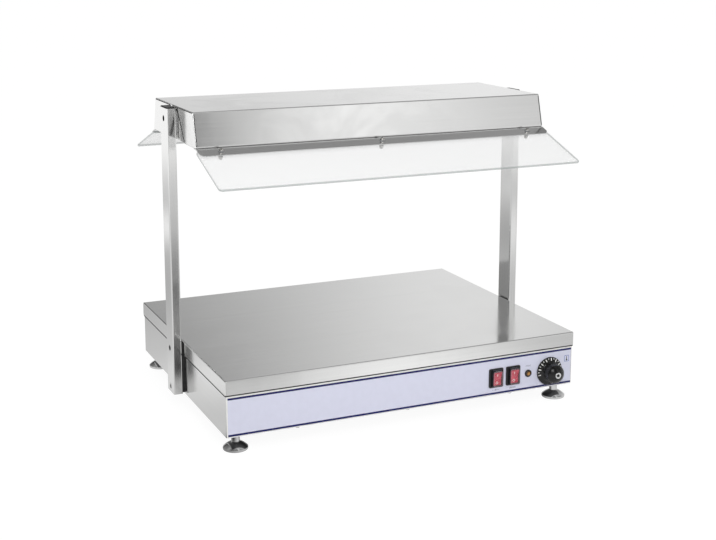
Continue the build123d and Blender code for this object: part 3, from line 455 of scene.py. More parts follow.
def fresh_bench(owner: Material | bpy.types.World) -> Bench:
    """Start on the emptied node tree of a material or a world.

    Args:
        owner: the material or world.

    Returns:
        The bench for its tree.
    """
    owner.use_nodes = True
    owner.node_tree.nodes.clear()
    return Bench(owner.node_tree)


def shade(colour: Colour, factor: float) -> Colour:
    """Return a colour made darker or lighter by a factor."""
    return tuple(min(1.0, part * factor) for part in colour)


def new_group(name: str, inputs: dict[str, str],
              outputs: tuple[str, ...]) -> tuple[Bench, Node, Node]:
    """Start a node group.

    Args:
        name: the group's name.
        inputs: socket names and their types.
        outputs: names of the sockets for the values that it puts out.

    Returns:
        The bench for its tree, its input node and its output node.
    """
    tree = bpy.data.node_groups.new(name, "ShaderNodeTree")
    for label, kind in inputs.items():
        tree.interface.new_socket(label, in_out="INPUT", socket_type=kind)
    for label in outputs:
        tree.interface.new_socket(label, in_out="OUTPUT", socket_type="NodeSocketFloat")
    bench = Bench(tree)
    return bench, bench.add("NodeGroupInput"), bench.add("NodeGroupOutput")


def brushed_grain_group(broad_scale: float = 0.13, broad_share: float = 0.35,
                        streak_band: Band = (0.32, 0.68)) -> Tree:
    """Build the group that gives fine drawn-out grain lines.

    Args:
        broad_scale: the broad lines' noise scale, where the fine ones have 1.
        broad_share: the broad lines' share of the height.
        streak_band: the heights between which a streak fades in.

    Returns:
        A group with Coordinates and Stretch in, Streak and Height out.
    """
    bench, start, end = new_group(
        "brushed grain", {"Coordinates": "NodeSocketVector", "Stretch": "NodeSocketVector"},
        ("Streak", "Height"))
    drawn = bench.vector("MULTIPLY", *start.outputs[:2]).outputs[0]
    fine = bench.add("ShaderNodeTexNoise", Vector=drawn, Scale=1.0, Detail=3.0)
    broad = bench.add("ShaderNodeTexNoise", Vector=drawn, Scale=broad_scale, Detail=2.0)
    height = bench.mix(broad_share, fine.outputs["Fac"], broad.outputs["Fac"])
    bench.fill(end, Height=height, Streak=bench.spread(height, *streak_band))
    return bench.tree


def handling_marks_group(patch_band: Band = (0.38, 0.68)) -> Tree:
    """Build the group that gives soft patches of wiping and handling.

    Args:
        patch_band: the noise levels between which a patch fades in.

    Returns:
        A group with Coordinates and Size in, Mask out.
    """
    bench, start, end = new_group(
        "handling marks", {"Coordinates": "NodeSocketVector", "Size": "NodeSocketFloat"}, ("Mask",))
    patches = bench.add("ShaderNodeTexNoise", Vector=start.outputs["Coordinates"],
                        Scale=start.outputs["Size"], Detail=4.0, Roughness=0.62, Distortion=0.6)
    bench.fill(end, Mask=bench.spread(patches.outputs["Fac"], *patch_band))
    return bench.tree


def speckle_group(cloud_scale: float = 0.06, mottle_band: Band = (0.3, 0.7)) -> Tree:
    """Build the group that gives the fine pebbling of moulded and cast surfaces.

    Args:
        cloud_scale: the mottling's noise scale, as a share of the pebbles'.
        mottle_band: the noise levels between which the mottling fades in.

    Returns:
        A group with Coordinates and Size in, Height and Mottle out.
    """
    bench, start, end = new_group(
        "speckle", {"Coordinates": "NodeSocketVector", "Size": "NodeSocketFloat"},
        ("Height", "Mottle"))
    spot, size = start.outputs["Coordinates"], start.outputs["Size"]
    cells = bench.add("ShaderNodeTexVoronoi", {"feature": "SMOOTH_F1"}, Vector=spot, Scale=size,
                      Smoothness=0.7)
    cloud = bench.add("ShaderNodeTexNoise", Vector=spot,
                      Scale=bench.math("MULTIPLY", size, cloud_scale), Detail=4.0)
    bench.fill(end, Height=cells.outputs["Distance"],
               Mottle=bench.spread(cloud.outputs["Fac"], *mottle_band))
    return bench.tree


BRUSHED_GRAIN = brushed_grain_group()
HANDLING_MARKS = handling_marks_group()
SPECKLE = speckle_group()


class Grain(Enum):
    """Which way a brushed surface was drawn, as noise cells per metre along X, Y and Z."""

    ALONG_X = (5.0, 1600.0, 1600.0)
    ALONG_Z = (1600.0, 1600.0, 5.0)
    LEVEL = (5.0, 5.0, 1600.0)


class Finish:
    """A finish that builds its material once."""

    name: str

    def start(self) -> tuple[Bench, Node]:
        """Start the material.

        Returns:
            The bench for its tree and its Principled shader.
        """
        bench = fresh_bench(bpy.data.materials.new(self.name))
        shader = bench.add("ShaderNodeBsdfPrincipled")
        bench.add("ShaderNodeOutputMaterial", Surface=shader.outputs["BSDF"])
        return bench, shader

    def build(self) -> None:
        """Build the material."""
        raise NotImplementedError

    def material(self) -> Material:
        """Return the material, building it the first time."""
        if self.name not in bpy.data.materials:
            self.build()
        return bpy.data.materials[self.name]


@dataclass(frozen=True)
class BrushedSteel(Finish):
    """Sheet or bar steel with a drawn grain."""

    name: str
    grain: Grain
    colour: Colour = (0.78, 0.78, 0.775)
    roughness: float = 0.14
    streak: float = 0.022
    streak_roughness: float = 0.03
    depth: float = 0.045
    relief: float = 0.12 * MM
    wiping: float = 0.03
    mark_size: float = 7.0

    def build(self) -> None:
        """Build the material."""
        bench, shader = self.start()
        grain = bench.use(BRUSHED_GRAIN, self.grain.value)
        marks = bench.use(HANDLING_MARKS, self.mark_size)["Mask"]
        wiped = bench.between(marks, (self.roughness - self.wiping, self.roughness + self.wiping))
        rougher = bench.math("MULTIPLY", grain["Streak"], self.streak_roughness)
        bench.fill(shader, Metallic=1.0, Roughness=bench.math("ADD", wiped, rougher),
                   Base_Color=bench.vary(grain["Streak"], self.colour,
                                         (1 - self.streak, 1 + self.streak)),
                   Normal=bench.bump(grain["Height"], self.depth, self.relief))


@dataclass(frozen=True)
class PlainMetal(Finish):
    """Plated, turned or polished metal with faint pitting and smears."""

    name: str
    colour: Colour
    roughness: float
    smear: float = 0.06
    pitting: float = 0.04
    relief: float = 0.2 * MM
    size: float = 900.0
    mark_size: float = 60.0
    tones: Band = (0.94, 1.05)

    def build(self) -> None:
        """Build the material."""
        bench, shader = self.start()
        pits = bench.use(SPECKLE, self.size)
        marks = bench.use(HANDLING_MARKS, self.mark_size)["Mask"]
        bench.fill(shader, Metallic=1.0,
                   Base_Color=bench.vary(pits["Mottle"], self.colour, self.tones),
                   Roughness=bench.between(marks, (self.roughness, self.roughness + self.smear)),
                   Normal=bench.bump(pits["Height"], self.pitting, self.relief))


@dataclass(frozen=True)
class Moulded(Finish):
    """Moulded plastic, rubber, film, ceramic or mineral board with a pebbled surface."""

    name: str
    colour: Colour
    roughness: float
    pebble: float = 0.12
    relief: float = 0.2 * MM
    size: float = 1400.0
    mark_size: float = 45.0
    mottle: float = 0.05
    polish: Band = (0.85, 1.15)
    gloss: float = 0.0
    gloss_roughness: float = 0.08
    glint: float = 0.5

    def build(self) -> None:
        """Build the material."""
        bench, shader = self.start()
        pebbles = bench.use(SPECKLE, self.size)
        marks = bench.use(HANDLING_MARKS, self.mark_size)["Mask"]
        polish = tuple(self.roughness * share for share in self.polish)
        bench.fill(shader, Coat_Weight=self.gloss, Coat_Roughness=self.gloss_roughness,
                   Specular_IOR_Level=self.glint,
                   Base_Color=bench.vary(pebbles["Mottle"], self.colour,
                                         (1 - self.mottle, 1 + self.mottle)),
                   Roughness=bench.between(marks, polish),
                   Normal=bench.bump(pebbles["Height"], self.pebble, self.relief))


@dataclass(frozen=True)
class RedRocker(Finish):
    """A rocker moulded in two colours: a red front in a black body."""

    name: str = "red rocker"
    red: Colour = (0.55, 0.035, 0.075)
    body: Colour = (0.012, 0.012, 0.013)
    front: Band = (-0.85, -0.7)
    tones: Band = (0.92, 1.08)
    polish: Band = (0.24, 0.32)
    pebble: float = 0.05
    relief: float = 0.1 * MM
    size: float = 1600.0

    def build(self) -> None:
        """Build the material."""
        bench, shader = self.start()
        pebbles = bench.use(SPECKLE, self.size)
        front = bench.spread(bench.facing("Y"), *self.front, 1.0, 0.0)
        lively = bench.vary(pebbles["Mottle"], self.red, self.tones)
        bench.fill(shader, Base_Color=bench.blend(front, self.body, lively),
                   Roughness=bench.between(pebbles["Mottle"], self.polish),
                   Normal=bench.bump(pebbles["Height"], self.pebble, self.relief))


@dataclass(frozen=True)
class Clear(Finish):
    """Glass or clear plastic that lets light through to what is behind it."""

    name: str
    tint: Colour
    roughness: float
    ior: float = 1.45
    smear: float = 0.02
    mark_size: float = 30.0
    tones: Band = (0.985, 1.0)

    def build(self) -> None:
        """Build the material, with an open path for the light that falls through."""
        bench, shader = self.start()
        marks = bench.use(HANDLING_MARKS, self.mark_size)["Mask"]
        bench.fill(shader, Transmission_Weight=1.0, IOR=self.ior,
                   Base_Color=bench.vary(marks, self.tint, self.tones),
                   Roughness=bench.between(marks, (self.roughness, self.roughness + self.smear)))
        path = bench.add("ShaderNodeLightPath").outputs
        soft = bench.math("MAXIMUM", path["Is Shadow Ray"], path["Is Diffuse Ray"])
        open_air = bench.add("ShaderNodeBsdfTransparent", Color=self.tint)
        output = next(n for n in bench.tree.nodes if n.type == "OUTPUT_MATERIAL")
        bench.fill(output, Surface=bench.mix_shaders(soft, shader, open_air))


@dataclass(frozen=True)
class SheetGlass(Finish):
    """Thin clear sheet glass with pale ground edges."""

    name: str
    sheet: Colour = (0.97, 0.98, 0.98)
    edge: Colour = (0.34, 0.38, 0.37)
    ior: float = 1.5
    haze: float = 0.015
    smear: float = 0.4
    shine: float = 0.3
    polish: Band = (0.02, 0.05)
    mark_size: float = 18.0
    rim: Band = (0.5, 0.9)
    edge_cover: float = 0.58

    def build(self) -> None:
        """Build the material: almost open on its faces, denser along its edges."""
        bench, shader = self.start()
        marks = bench.use(HANDLING_MARKS, self.mark_size)["Mask"]
        rim = bench.spread(bench.math("ABSOLUTE", bench.facing("Z")), *self.rim, 1.0, 0.0)
        shine = bench.add("ShaderNodeFresnel", IOR=self.ior).outputs["Fac"]
        smears = bench.math("MULTIPLY", marks, self.haze * self.smear)
        cover = bench.math("MULTIPLY_ADD", shine, self.shine, self.haze)
        cover = bench.math("ADD", cover, smears)
        edges = bench.math("MULTIPLY", rim, self.edge_cover)
        bench.fill(shader, IOR=self.ior, Base_Color=bench.blend(rim, self.sheet, self.edge),
                   Roughness=bench.between(marks, self.polish),
                   Alpha=bench.math("MAXIMUM", cover, edges, clamp=True))


@dataclass(frozen=True)
class SwitchBoot(Clear):
    """A moulded boot: black round its sides and clear over its front."""

    frame_colour: Colour = (0.004, 0.004, 0.005)
    front: Band = (0.88, 0.97)

    def build(self) -> None:
        """Build the clear material, then darken every face that doesn't look forward."""
        super().build()
        bench = Bench(bpy.data.materials[self.name].node_tree)
        shader = next(n for n in bench.tree.nodes if n.type == "BSDF_PRINCIPLED")
        clear = shader.inputs["Base Color"].links[0].from_socket
        front = bench.spread(bench.math("ABSOLUTE", bench.facing("Y")), *self.front)
        bench.fill(shader, Base_Color=bench.blend(front, self.frame_colour, clear))


@dataclass(frozen=True)
class AmberLens(Finish):
    """An amber lens, golden in the middle and brown towards its rim."""

    name: str
    middle: Place
    radius: float
    gold: Colour = (0.42, 0.20, 0.035)
    brown: Colour = (0.055, 0.022, 0.008)
    tones: Band = (0.85, 1.15)
    polish: Band = (0.14, 0.20)
    rim: Band = (0.25, 0.95)
    rib_size: float = 900.0
    gloss: float = 0.5

    def build(self) -> None:
        """Build the material."""
        bench, shader = self.start()
        spot = bench.vector("SUBTRACT", bench.place_coordinates(), self.middle).outputs[0]
        across = bench.vector("MULTIPLY", spot, (1.0, 0.0, 1.0)).outputs[0]
        reach = bench.vector("LENGTH", across).outputs["Value"]
        ribs = bench.use(SPECKLE, self.rib_size, spot)["Mottle"]
        rim = bench.spread(reach, *(self.radius * share for share in self.rim))
        lively = bench.vary(ribs, self.gold, self.tones)
        bench.fill(shader, Coat_Weight=self.gloss, Base_Color=bench.blend(rim, lively, self.brown),
                   Roughness=bench.between(ribs, self.polish))


HOOD_STEEL = BrushedSteel("hood steel", Grain.ALONG_X)
PLATE_STEEL = BrushedSteel("plate steel", Grain.ALONG_X, roughness=0.13)
WALL_STEEL = BrushedSteel("wall steel", Grain.LEVEL)
POST_STEEL = BrushedSteel("post steel", Grain.ALONG_Z, roughness=0.13)
RAIL_STEEL = BrushedSteel("rail steel", Grain.ALONG_X, colour=(0.70, 0.70, 0.70), roughness=0.17)
INNER_STEEL = BrushedSteel("inner steel", Grain.ALONG_X, colour=(0.60, 0.61, 0.62), roughness=0.34,
                           depth=0.16, wiping=0.07)
# A dark colour for the bottom plate: painted shade under the base, which the chrome feet mirror.
SHADED_UNDERSIDE_STEEL = BrushedSteel("underside steel painted shade", Grain.ALONG_X, colour=(0.15, 0.15, 0.155),
                               roughness=0.40, depth=0.16, wiping=0.07)
FASTENER = PlainMetal("fastener steel", (0.70, 0.69, 0.67), 0.22)
CHROME = PlainMetal("foot chrome", (0.78, 0.78, 0.78), 0.03, smear=0.03, pitting=0.01)
BLACKENED = PlainMetal("blackened steel", (0.035, 0.035, 0.038), 0.42)
INSERT_METAL = PlainMetal("knob insert metal", (0.80, 0.80, 0.80), 0.18)
REFLECTOR_METAL = PlainMetal("reflector metal", (0.85, 0.85, 0.86), 0.10, size=300.0)
ELEMENT_STEEL = PlainMetal("element steel", (0.30, 0.25, 0.22), 0.38, smear=0.15)
COPPER = PlainMetal("thermostat copper", (0.80, 0.45, 0.30), 0.25)
OVERLAY_FILM = Moulded("overlay film", (0.68, 0.69, 0.82), 0.45, pebble=0.04, mottle=0.012)
BLACK_PLASTIC = Moulded("black plastic", (0.007, 0.007, 0.008), 0.42, pebble=0.06)
KNOB_PLASTIC = Moulded("knob plastic", (0.004, 0.004, 0.004), 0.30, pebble=0.03, gloss=0.35,
                       glint=0.25)
FILAMENT = PlainMetal("lamp filament", (0.42, 0.38, 0.33), 0.35)
# Black rubber; the same black also paints the shade in gaps, seams and under the skirt.
BLACK_RUBBER_AND_SHADE = Moulded("black rubber and painted shade", (0.02, 0.02, 0.02), 0.7, pebble=0.3)
GREY_PLASTIC = Moulded("grey plastic", (0.30, 0.31, 0.32), 0.45)
GREY_RUBBER = Moulded("grey rubber", (0.42, 0.42, 0.42), 0.6, pebble=0.25)
WHITE_CERAMIC = Moulded("white ceramic", (0.80, 0.78, 0.73), 0.35, mottle=0.03)
MINERAL_WOOL = Moulded("mineral wool", (0.55, 0.50, 0.36), 0.95, pebble=0.9, size=500.0,
                       mottle=0.16)
CABLE_SHEATH = Moulded("cable sheath", (0.62, 0.62, 0.60), 0.6)
NAVY_INK = Moulded("navy ink", (0.004, 0.005, 0.10), 0.6, pebble=0.03, mottle=0.08)
BLUE_INK = Moulded("blue ink", (0.07, 0.13, 0.42), 0.45, pebble=0.03, mottle=0.08)
DARK_INK = Moulded("dark ink", (0.02, 0.022, 0.035), 0.5, pebble=0.03, mottle=0.08)
GREY_INK = Moulded("grey ink", (0.20, 0.20, 0.27), 0.5, pebble=0.03, mottle=0.08)
# White ink for the print; the same white also paints the highlight at the overlay's left end.
WHITE_INK_AND_HIGHLIGHT = Moulded("white ink and painted highlight", (0.82, 0.82, 0.80), 0.5, pebble=0.03, mottle=0.03)
RED_ROCKER = RedRocker()
CLEAR_BOOT = SwitchBoot("clear boot", (0.98, 0.96, 0.96), 0.05, ior=1.42, smear=0.03)
# Pale pink rim colour: a painted highlight along the edge of each boot's window.
BOOT_EDGE_HIGHLIGHT = Moulded("boot painted highlight", (0.30, 0.21, 0.24), 0.4, pebble=0.03)
AMBER_LENS = AmberLens("amber lens", (232.4 * MM, -250.0 * MM, 59.6 * MM), 4.55 * MM)
GUARD_GLASS = SheetGlass("guard glass")
QUARTZ = Clear("lamp quartz", (0.98, 0.97, 0.95), 0.02, ior=1.46)


# Sub-assemblies

Finishes = tuple[tuple[Finish | str, ...], ...]


class SubAssembly:
    """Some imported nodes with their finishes, and the small pieces that ride on them."""

    finishes: Finishes = ()

    def dress(self) -> None:
        """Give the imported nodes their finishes."""
        for finish, *nodes in self.finishes:
            for node in nodes:
                for material_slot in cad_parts[node].material_slots:
                    material_slot.material = finish.material()
            log.info("dressed %s: %s", finish.name, ", ".join(nodes))

    def build(self) -> None:
        """Dress the nodes; a class with pieces of its own models them as well."""
        self.dress()


@dataclass
class Base(SubAssembly):
    """The box under the hot plate with what it holds."""

    # Sizes of the dark strip that paints the shade under the skirt's lip.
    shade_strip_top: float = 99.9 * MM
    shade_strip_parting: float = 0.1 * MM
    front_shade_strip: float = 1.7 * MM
    side_shade_strip: float = 2.6 * MM
    shade_strip_thickness: float = 0.9 * MM
    shade_strip_round: float = 0.3 * MM
    finishes: Finishes = (
        (PLATE_STEEL, "hot_plate"), (WALL_STEEL, "base_housing"),
        # The spacers are black rubber; their black also stands in as painted shade in the gap
        # between post and wall.
        (BLACK_RUBBER_AND_SHADE, "left_base_spacer", "right_base_spacer"),
        (SHADED_UNDERSIDE_STEEL, "bottom_plate"), (INNER_STEEL, "insulation_tray", "element_straps"),
        (FASTENER, "bottom_screws"), (BLACK_PLASTIC, "cable_gland", "gland_locknut"),
        (ELEMENT_STEEL, "heating_element"), (MINERAL_WOOL, "insulation_board"),
        (GREY_PLASTIC, "terminal_block"))

    def paint_skirt_shade(self) -> None:
        """Model a dark strip in the gap under the plate's skirt, on all four sides: painted shade
        under the skirt's lip.
        """
        low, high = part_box("base_housing")
        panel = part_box("front_overlay")[0][1]
        width, depth = high[0] - low[0], high[1] - low[1] - self.shade_strip_parting
        strips = []
        for turn, length, x, y, height in (
                (0, width, 0.0, panel, self.front_shade_strip),
                (90, depth, high[0], 0.0, self.side_shade_strip),
                (180, width, 0.0, high[1], self.side_shade_strip),
                (270, depth, low[0], 0.0, self.side_shade_strip)):
            strip = flat_bar((length, height), self.shade_strip_thickness, self.shade_strip_round)
            spot = Matrix.Translation((x, y, self.shade_strip_top - height / 2))
            around = Matrix.Rotation(math.radians(turn), 4, "Z")
            strips.append(place(strip, spot @ around @ UPRIGHT))
        finish_piece(join(strips), "skirt_painted_shade", "warmer", BLACK_RUBBER_AND_SHADE)

    def build(self) -> None:
        """Dress the base and paint the shade under its plate's skirt."""
        self.dress()
        self.paint_skirt_shade()


@dataclass
class ControlPanel(SubAssembly):
    """The printed overlay with its switches, pilot light and dial."""

    print_height: float = 0.06 * MM
    print_sink: float = 0.01 * MM
    line_width: float = 3.5 * MM
    upper_line: float = 93.4 * MM
    lower_line: float = 32.4 * MM
    margin: float = 0.3 * MM
    # Sizes of the white strip at the overlay's left end: a painted highlight.
    edge_highlight_gap: float = 0.3 * MM
    edge_highlight_thickness: float = 0.4 * MM
    edge_highlight_back: float = 0.38 * MM
    edge_highlight_short: float = 1.0 * MM
    sign_centre: Size = (312.0 * MM, 76.4 * MM)
    sign_size: Size = (9.6 * MM, 11.4 * MM)
    sign_line: float = 0.85 * MM
    sign_round: float = 1.3 * MM
    stem_size: Size = (1.5 * MM, 5.6 * MM)
    stem_rise: float = 0.9 * MM
    stem_round: float = 0.7 * MM
    bulb_radius: float = 1.6 * MM
    bulb_drop: float = 2.6 * MM
    caption_height: float = 38.2 * MM
    pilot_caption: float = 73.4 * MM
    glow_ring: Size = (1.5 * MM, 0.75 * MM)
    dash_size: Size = (1.9 * MM, 0.7 * MM)
    dash_round: float = 0.25 * MM
    dash_reach: tuple[float, ...] = (-5.6 * MM, -3.1 * MM, 3.1 * MM, 5.6 * MM)
    wave_size: tuple[float, float, float] = (3.0 * MM, 0.7 * MM, 0.45 * MM)
    wave_step: float = 2.1 * MM
    light_x: float = 167.4 * MM
    heat_x: float = 201.4 * MM
    pilot_x: float = 232.4 * MM
    switch_height: float = 60.5 * MM
    boot_front: float = 8.4 * MM
    boot_window: Size = (17.0 * MM, 27.4 * MM)
    # The pale rim round each boot window: a painted highlight.
    boot_highlight_rim: tuple[float, float, float] = (0.8 * MM, 2.4 * MM, 0.25 * MM)
    rim_bevel: float = 0.1 * MM
    rim_sink: float = 0.05 * MM
    rocker_pivot: Size = (-247.7 * MM, 60.5 * MM)
    rocker_tilt: float = 8.0
    rocker_dip: float = 5.0 * MM
    rocker_rise: float = 1.6 / 12.5
    on_mark: Size = (1.2 * MM, 4.6 * MM)
    on_reach: float = 7.0 * MM
    off_mark: Size = (2.4 * MM, 1.5 * MM)
    off_reach: float = -7.4 * MM
    knob_centre: Size = (275.6 * MM, 58.4 * MM)
    knob_radius: float = 25.4 * MM
    knob_back: Band = (1.2 * MM, 1.4 * MM)
    knob_profile: tuple[Size, ...] = (
        (25.4, 2.2), (24.4, 3.4), (19.0, 4.6), (16.9, 6.0), (15.9, 7.8), (15.6, 10.0), (16.6, 22.6),
        (16.2, 23.9), (15.4, 25.0), (14.2, 26.3), (12.8, 27.6), (11.0, 28.9), (9.0, 30.05),
        (7.2, 30.85), (6.3, 31.2), (6.2, 31.0), (6.2, 28.95))
    plug_radius: float = 2.6 * MM
    plug_depth: Band = (30.5 * MM, 31.0 * MM)
    plug_steps: tuple[Size, ...] = ((0.4 * MM, 0.25 * MM), (0.5 * MM, -0.3 * MM))
    dial_slope: float = math.atan2(1.2, 5.4)
    tick_count: int = 11
    tick_step: float = 27.0
    first_tick: float = 103.0
    tick_size: Size = (1.6 * MM, 5.0 * MM)
    tick_spot: Size = (21.7 * MM, 4.0 * MM)
    tick_round: float = 0.3 * MM
    dot_size: Size = (1.3 * MM, 2.2 * MM)
    dot_spot: Size = (22.9 * MM, 3.74 * MM)
    dot_round: float = 0.4 * MM
    finishes: Finishes = (
        (OVERLAY_FILM, "front_overlay"), (AMBER_LENS, "pilot_lens"),
        (BLACK_PLASTIC, "light_switch_housing", "heat_switch_housing", "pilot_bezel",
         "thermostat_body"),
        (KNOB_PLASTIC, "control_knob"), (INSERT_METAL, "knob_insert"),
        (RED_ROCKER, "light_rocker", "heat_rocker"),
        (CLEAR_BOOT, "light_switch_boot", "heat_switch_boot"), (FASTENER, "thermostat_shaft"),
        (COPPER, "thermostat_bulb", "thermostat_capillary"))
    face: float = field(init=False)

    def __post_init__(self) -> None:
        """Find the overlay's front face."""
        self.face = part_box("front_overlay")[0][1]

    def on_panel(self, x: float, z: float, proud: float | None = None) -> Matrix:
        """Return the matrix that stands a flat piece on the overlay.

        Args:
            x: where its middle goes along the panel.
            z: how high its middle goes.
            proud: how far in front of the face it stands; print sinks in a little.

        Returns:
            The matrix.
        """
        proud = -self.print_sink if proud is None else proud
        return Matrix.Translation((x, self.face - proud, z)) @ UPRIGHT

    def print_lines(self) -> None:
        """Print two navy lines across the overlay, with white margins outside them."""
        low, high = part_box("front_overlay")
        width = high[0] - low[0]
        half = self.line_width / 2
        bands = (("upper_panel_line", self.upper_line - half, self.upper_line + half, NAVY_INK),
                 ("lower_panel_line", self.lower_line - half, self.lower_line + half, NAVY_INK),
                 ("upper_margin", self.upper_line + half, high[2] - self.margin, WHITE_INK_AND_HIGHLIGHT),
                 ("lower_margin", low[2] + self.margin, self.lower_line - half, WHITE_INK_AND_HIGHLIGHT))
        for name, bottom, top, ink in bands:
            band = flat_bar((width, top - bottom), self.print_height, self.margin)
            place(band, self.on_panel(0.0, (bottom + top) / 2))
            finish_piece(band, name, "warmer", ink)

    def print_thermometer(self) -> None:
        """Print the thermometer sign over the dial."""
        spot = self.on_panel(*self.sign_centre)
        rim = flat_bar(self.sign_size, self.print_height, self.sign_round, self.sign_line)
        place(rim, spot)
        finish_piece(rim, "thermometer_frame", "warmer", BLUE_INK)
        stem = flat_bar(self.stem_size, self.print_height, self.stem_round)
        place(stem, Matrix.Translation((0, self.stem_rise, 0)))
        bulb = flat_ring(self.bulb_radius, 0.0, self.print_height)
        place(bulb, Matrix.Translation((0, -self.bulb_drop, 0)))
        sign = place(join([stem, bulb]), spot)
        finish_piece(sign, "thermometer_sign", "warmer", DARK_INK)

    def print_captions(self) -> None:
        """Print a lamp and a warmth sign under the switches, and waves over the pilot light."""
        dash = flat_bar(self.dash_size, self.print_height, self.dash_round)
        glow = [flat_ring(*self.glow_ring, self.print_height)]
        glow += [copy_piece(dash, Matrix.Translation((reach, 0, 0))) for reach in self.dash_reach]
        bpy.data.objects.remove(dash)
        sign = place(join(glow), self.on_panel(self.light_x, self.caption_height))
        finish_piece(sign, "lamp_sign", "warmer", GREY_INK)
        wave = wavy_bar(*self.wave_size, self.print_height)
        for name, x, z, count, ink in (
                ("warmth_sign", self.heat_x, self.caption_height, 6, DARK_INK),
                ("pilot_sign", self.pilot_x, self.pilot_caption, 5, GREY_INK)):
            first = -self.wave_step * (count - 1) / 2
            row = [copy_piece(wave, Matrix.Translation((first + self.wave_step * step, 0, 0)))
                   for step in range(count)]
            sign = place(join(row), self.on_panel(x, z))
            finish_piece(sign, name, "warmer", ink)
        bpy.data.objects.remove(wave)

    def paint_edge_highlight(self) -> None:
        """Model the white strip at the overlay's left end: a painted highlight for the light on the
        housing's rounded corner.
        """
        low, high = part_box("front_overlay")
        width = low[0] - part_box("base_housing")[0][0] - self.edge_highlight_gap
        height = high[2] - low[2] - self.edge_highlight_short
        edge_highlight = flat_bar((width, height), self.edge_highlight_thickness, self.margin)
        middle = (low[2] + high[2] - self.edge_highlight_short) / 2
        place(edge_highlight, self.on_panel(low[0] - width / 2, middle, -self.edge_highlight_back))
        finish_piece(edge_highlight, "panel_edge_painted_highlight", "warmer", WHITE_INK_AND_HIGHLIGHT)

    def turn_knob(self) -> None:
        """Model the knob as one turned piece: skirt, dial cone, waist, grip and domed front."""
        radius, (foot, height) = self.knob_radius, self.knob_back
        knob = turned_blank(radius, foot, height, sides=72)
        edit_faces(knob, lambda centre, normal: normal.z > SQUARE_ON)
        for next_radius, next_height in self.knob_profile:
            bpy.ops.mesh.extrude_region_move(
                TRANSFORM_OT_translate={"value": (0, 0, next_height * MM - height)})
            ratio = next_radius * MM / radius
            bpy.ops.transform.resize(value=(ratio, ratio, 1.0))
            radius, height = next_radius * MM, next_height * MM
        clear_selection()
        place(knob, self.on_panel(*self.knob_centre, 0.0))
        finish_piece(knob, "turned_knob", "control_knob", KNOB_PLASTIC)
        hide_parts("control_knob")

    def plug_insert(self) -> None:
        """Model the dark plug in the middle of the knob's bright insert."""
        plug = turned_blank(self.plug_radius, *self.plug_depth, sides=40)
        edit_faces(plug, lambda centre, normal: normal.z > SQUARE_ON)
        for inset, rise in self.plug_steps:
            bpy.ops.mesh.inset(thickness=inset)
            bpy.ops.transform.translate(value=(0, 0, rise))
        clear_selection()
        place(plug, self.on_panel(*self.knob_centre, 0.0))
        finish_piece(plug, "insert_plug", "control_knob", KNOB_PLASTIC)

    def print_dial(self) -> None:
        """Print the dial's strokes and dots on the sloping skirt of the knob."""
        slope = Matrix.Rotation(-self.dial_slope, 4, "X")
        stroke = flat_bar(self.tick_size, self.print_height, self.tick_round)
        place(stroke, Matrix.Translation((0, *self.tick_spot)) @ slope)
        dot = flat_bar(self.dot_size, self.print_height, self.dot_round)
        place(dot, Matrix.Translation((0, *self.dot_spot)) @ slope)
        prints = []
        for index in range(2 * self.tick_count - 1):
            angle = math.radians(self.first_tick - self.tick_step * index / 2)
            mould = dot if index % 2 else stroke
            prints.append(copy_piece(mould, Matrix.Rotation(angle, 4, "Z")))
        for mould in (stroke, dot):
            bpy.data.objects.remove(mould)
        dial = place(join(prints), self.on_panel(*self.knob_centre, 0.0))
        finish_piece(dial, "dial_strokes", "control_knob", WHITE_INK_AND_HIGHLIGHT)

    def mark_rockers(self) -> None:
        """Mark each rocker with a stroke for on above and a ring for off below."""
        tilt = Matrix.Rotation(math.radians(self.rocker_tilt), 4, "X")
        slope = math.atan(self.rocker_rise)
        for body, x in (("light_rocker", self.light_x), ("heat_rocker", self.heat_x)):
            stroke = flat_bar(self.on_mark, self.print_height, self.tick_round)
            ring = flat_ring(*self.off_mark, self.print_height)
            for mark, reach in ((stroke, self.on_reach), (ring, self.off_reach)):
                height = self.rocker_dip + abs(reach) * self.rocker_rise
                place(mark, Matrix.Translation((0, reach, height))
                      @ Matrix.Rotation(math.copysign(slope, reach), 4, "X"))
            marks = join([stroke, ring])
            place(marks, Matrix.Translation((x, *self.rocker_pivot)) @ tilt @ UPRIGHT)
            finish_piece(marks, body + "_marks", body, WHITE_INK_AND_HIGHLIGHT)

    def paint_boot_highlights(self) -> None:
        """Model a pale rim round the window of each switch boot: a painted highlight along the
        boot's rounded edge.
        """
        line, rounding, thickness = self.boot_highlight_rim
        for name, x in (("light_boot_painted_highlight", self.light_x), ("heat_boot_painted_highlight", self.heat_x)):
            rim = flat_bar(self.boot_window, thickness, rounding, line)
            apply_modifier(rim, "BEVEL", width=self.rim_bevel, segments=2, limit_method="ANGLE")
            place(rim, self.on_panel(x, self.switch_height, self.boot_front - self.rim_sink))
            finish_piece(rim, name, "warmer", BOOT_EDGE_HIGHLIGHT)

    def build(self) -> None:
        """Dress the panel and print on it."""
        self.dress()
        self.print_lines()
        self.print_thermometer()
        self.print_captions()
        self.paint_edge_highlight()
        self.turn_knob()
        self.plug_insert()
        self.print_dial()
        self.mark_rockers()
        self.paint_boot_highlights()


@dataclass
class Feet(SubAssembly):
    """The four levelling feet."""

    finishes: Finishes = (
        (CHROME, "foot_front_left", "foot_front_right", "foot_rear_left", "foot_rear_right"),
        (FASTENER, "foot_nuts"))


@dataclass
class Posts(SubAssembly):
    """The two flat posts that carry the hood."""

    finishes: Finishes = (
        (POST_STEEL, "left_post", "right_post"), (BLACK_PLASTIC, "left_post_cap", "right_post_cap"),
        (BLACKENED, "post_bolts"), (FASTENER, "post_nuts"), (CABLE_SHEATH, "lamp_cable"))


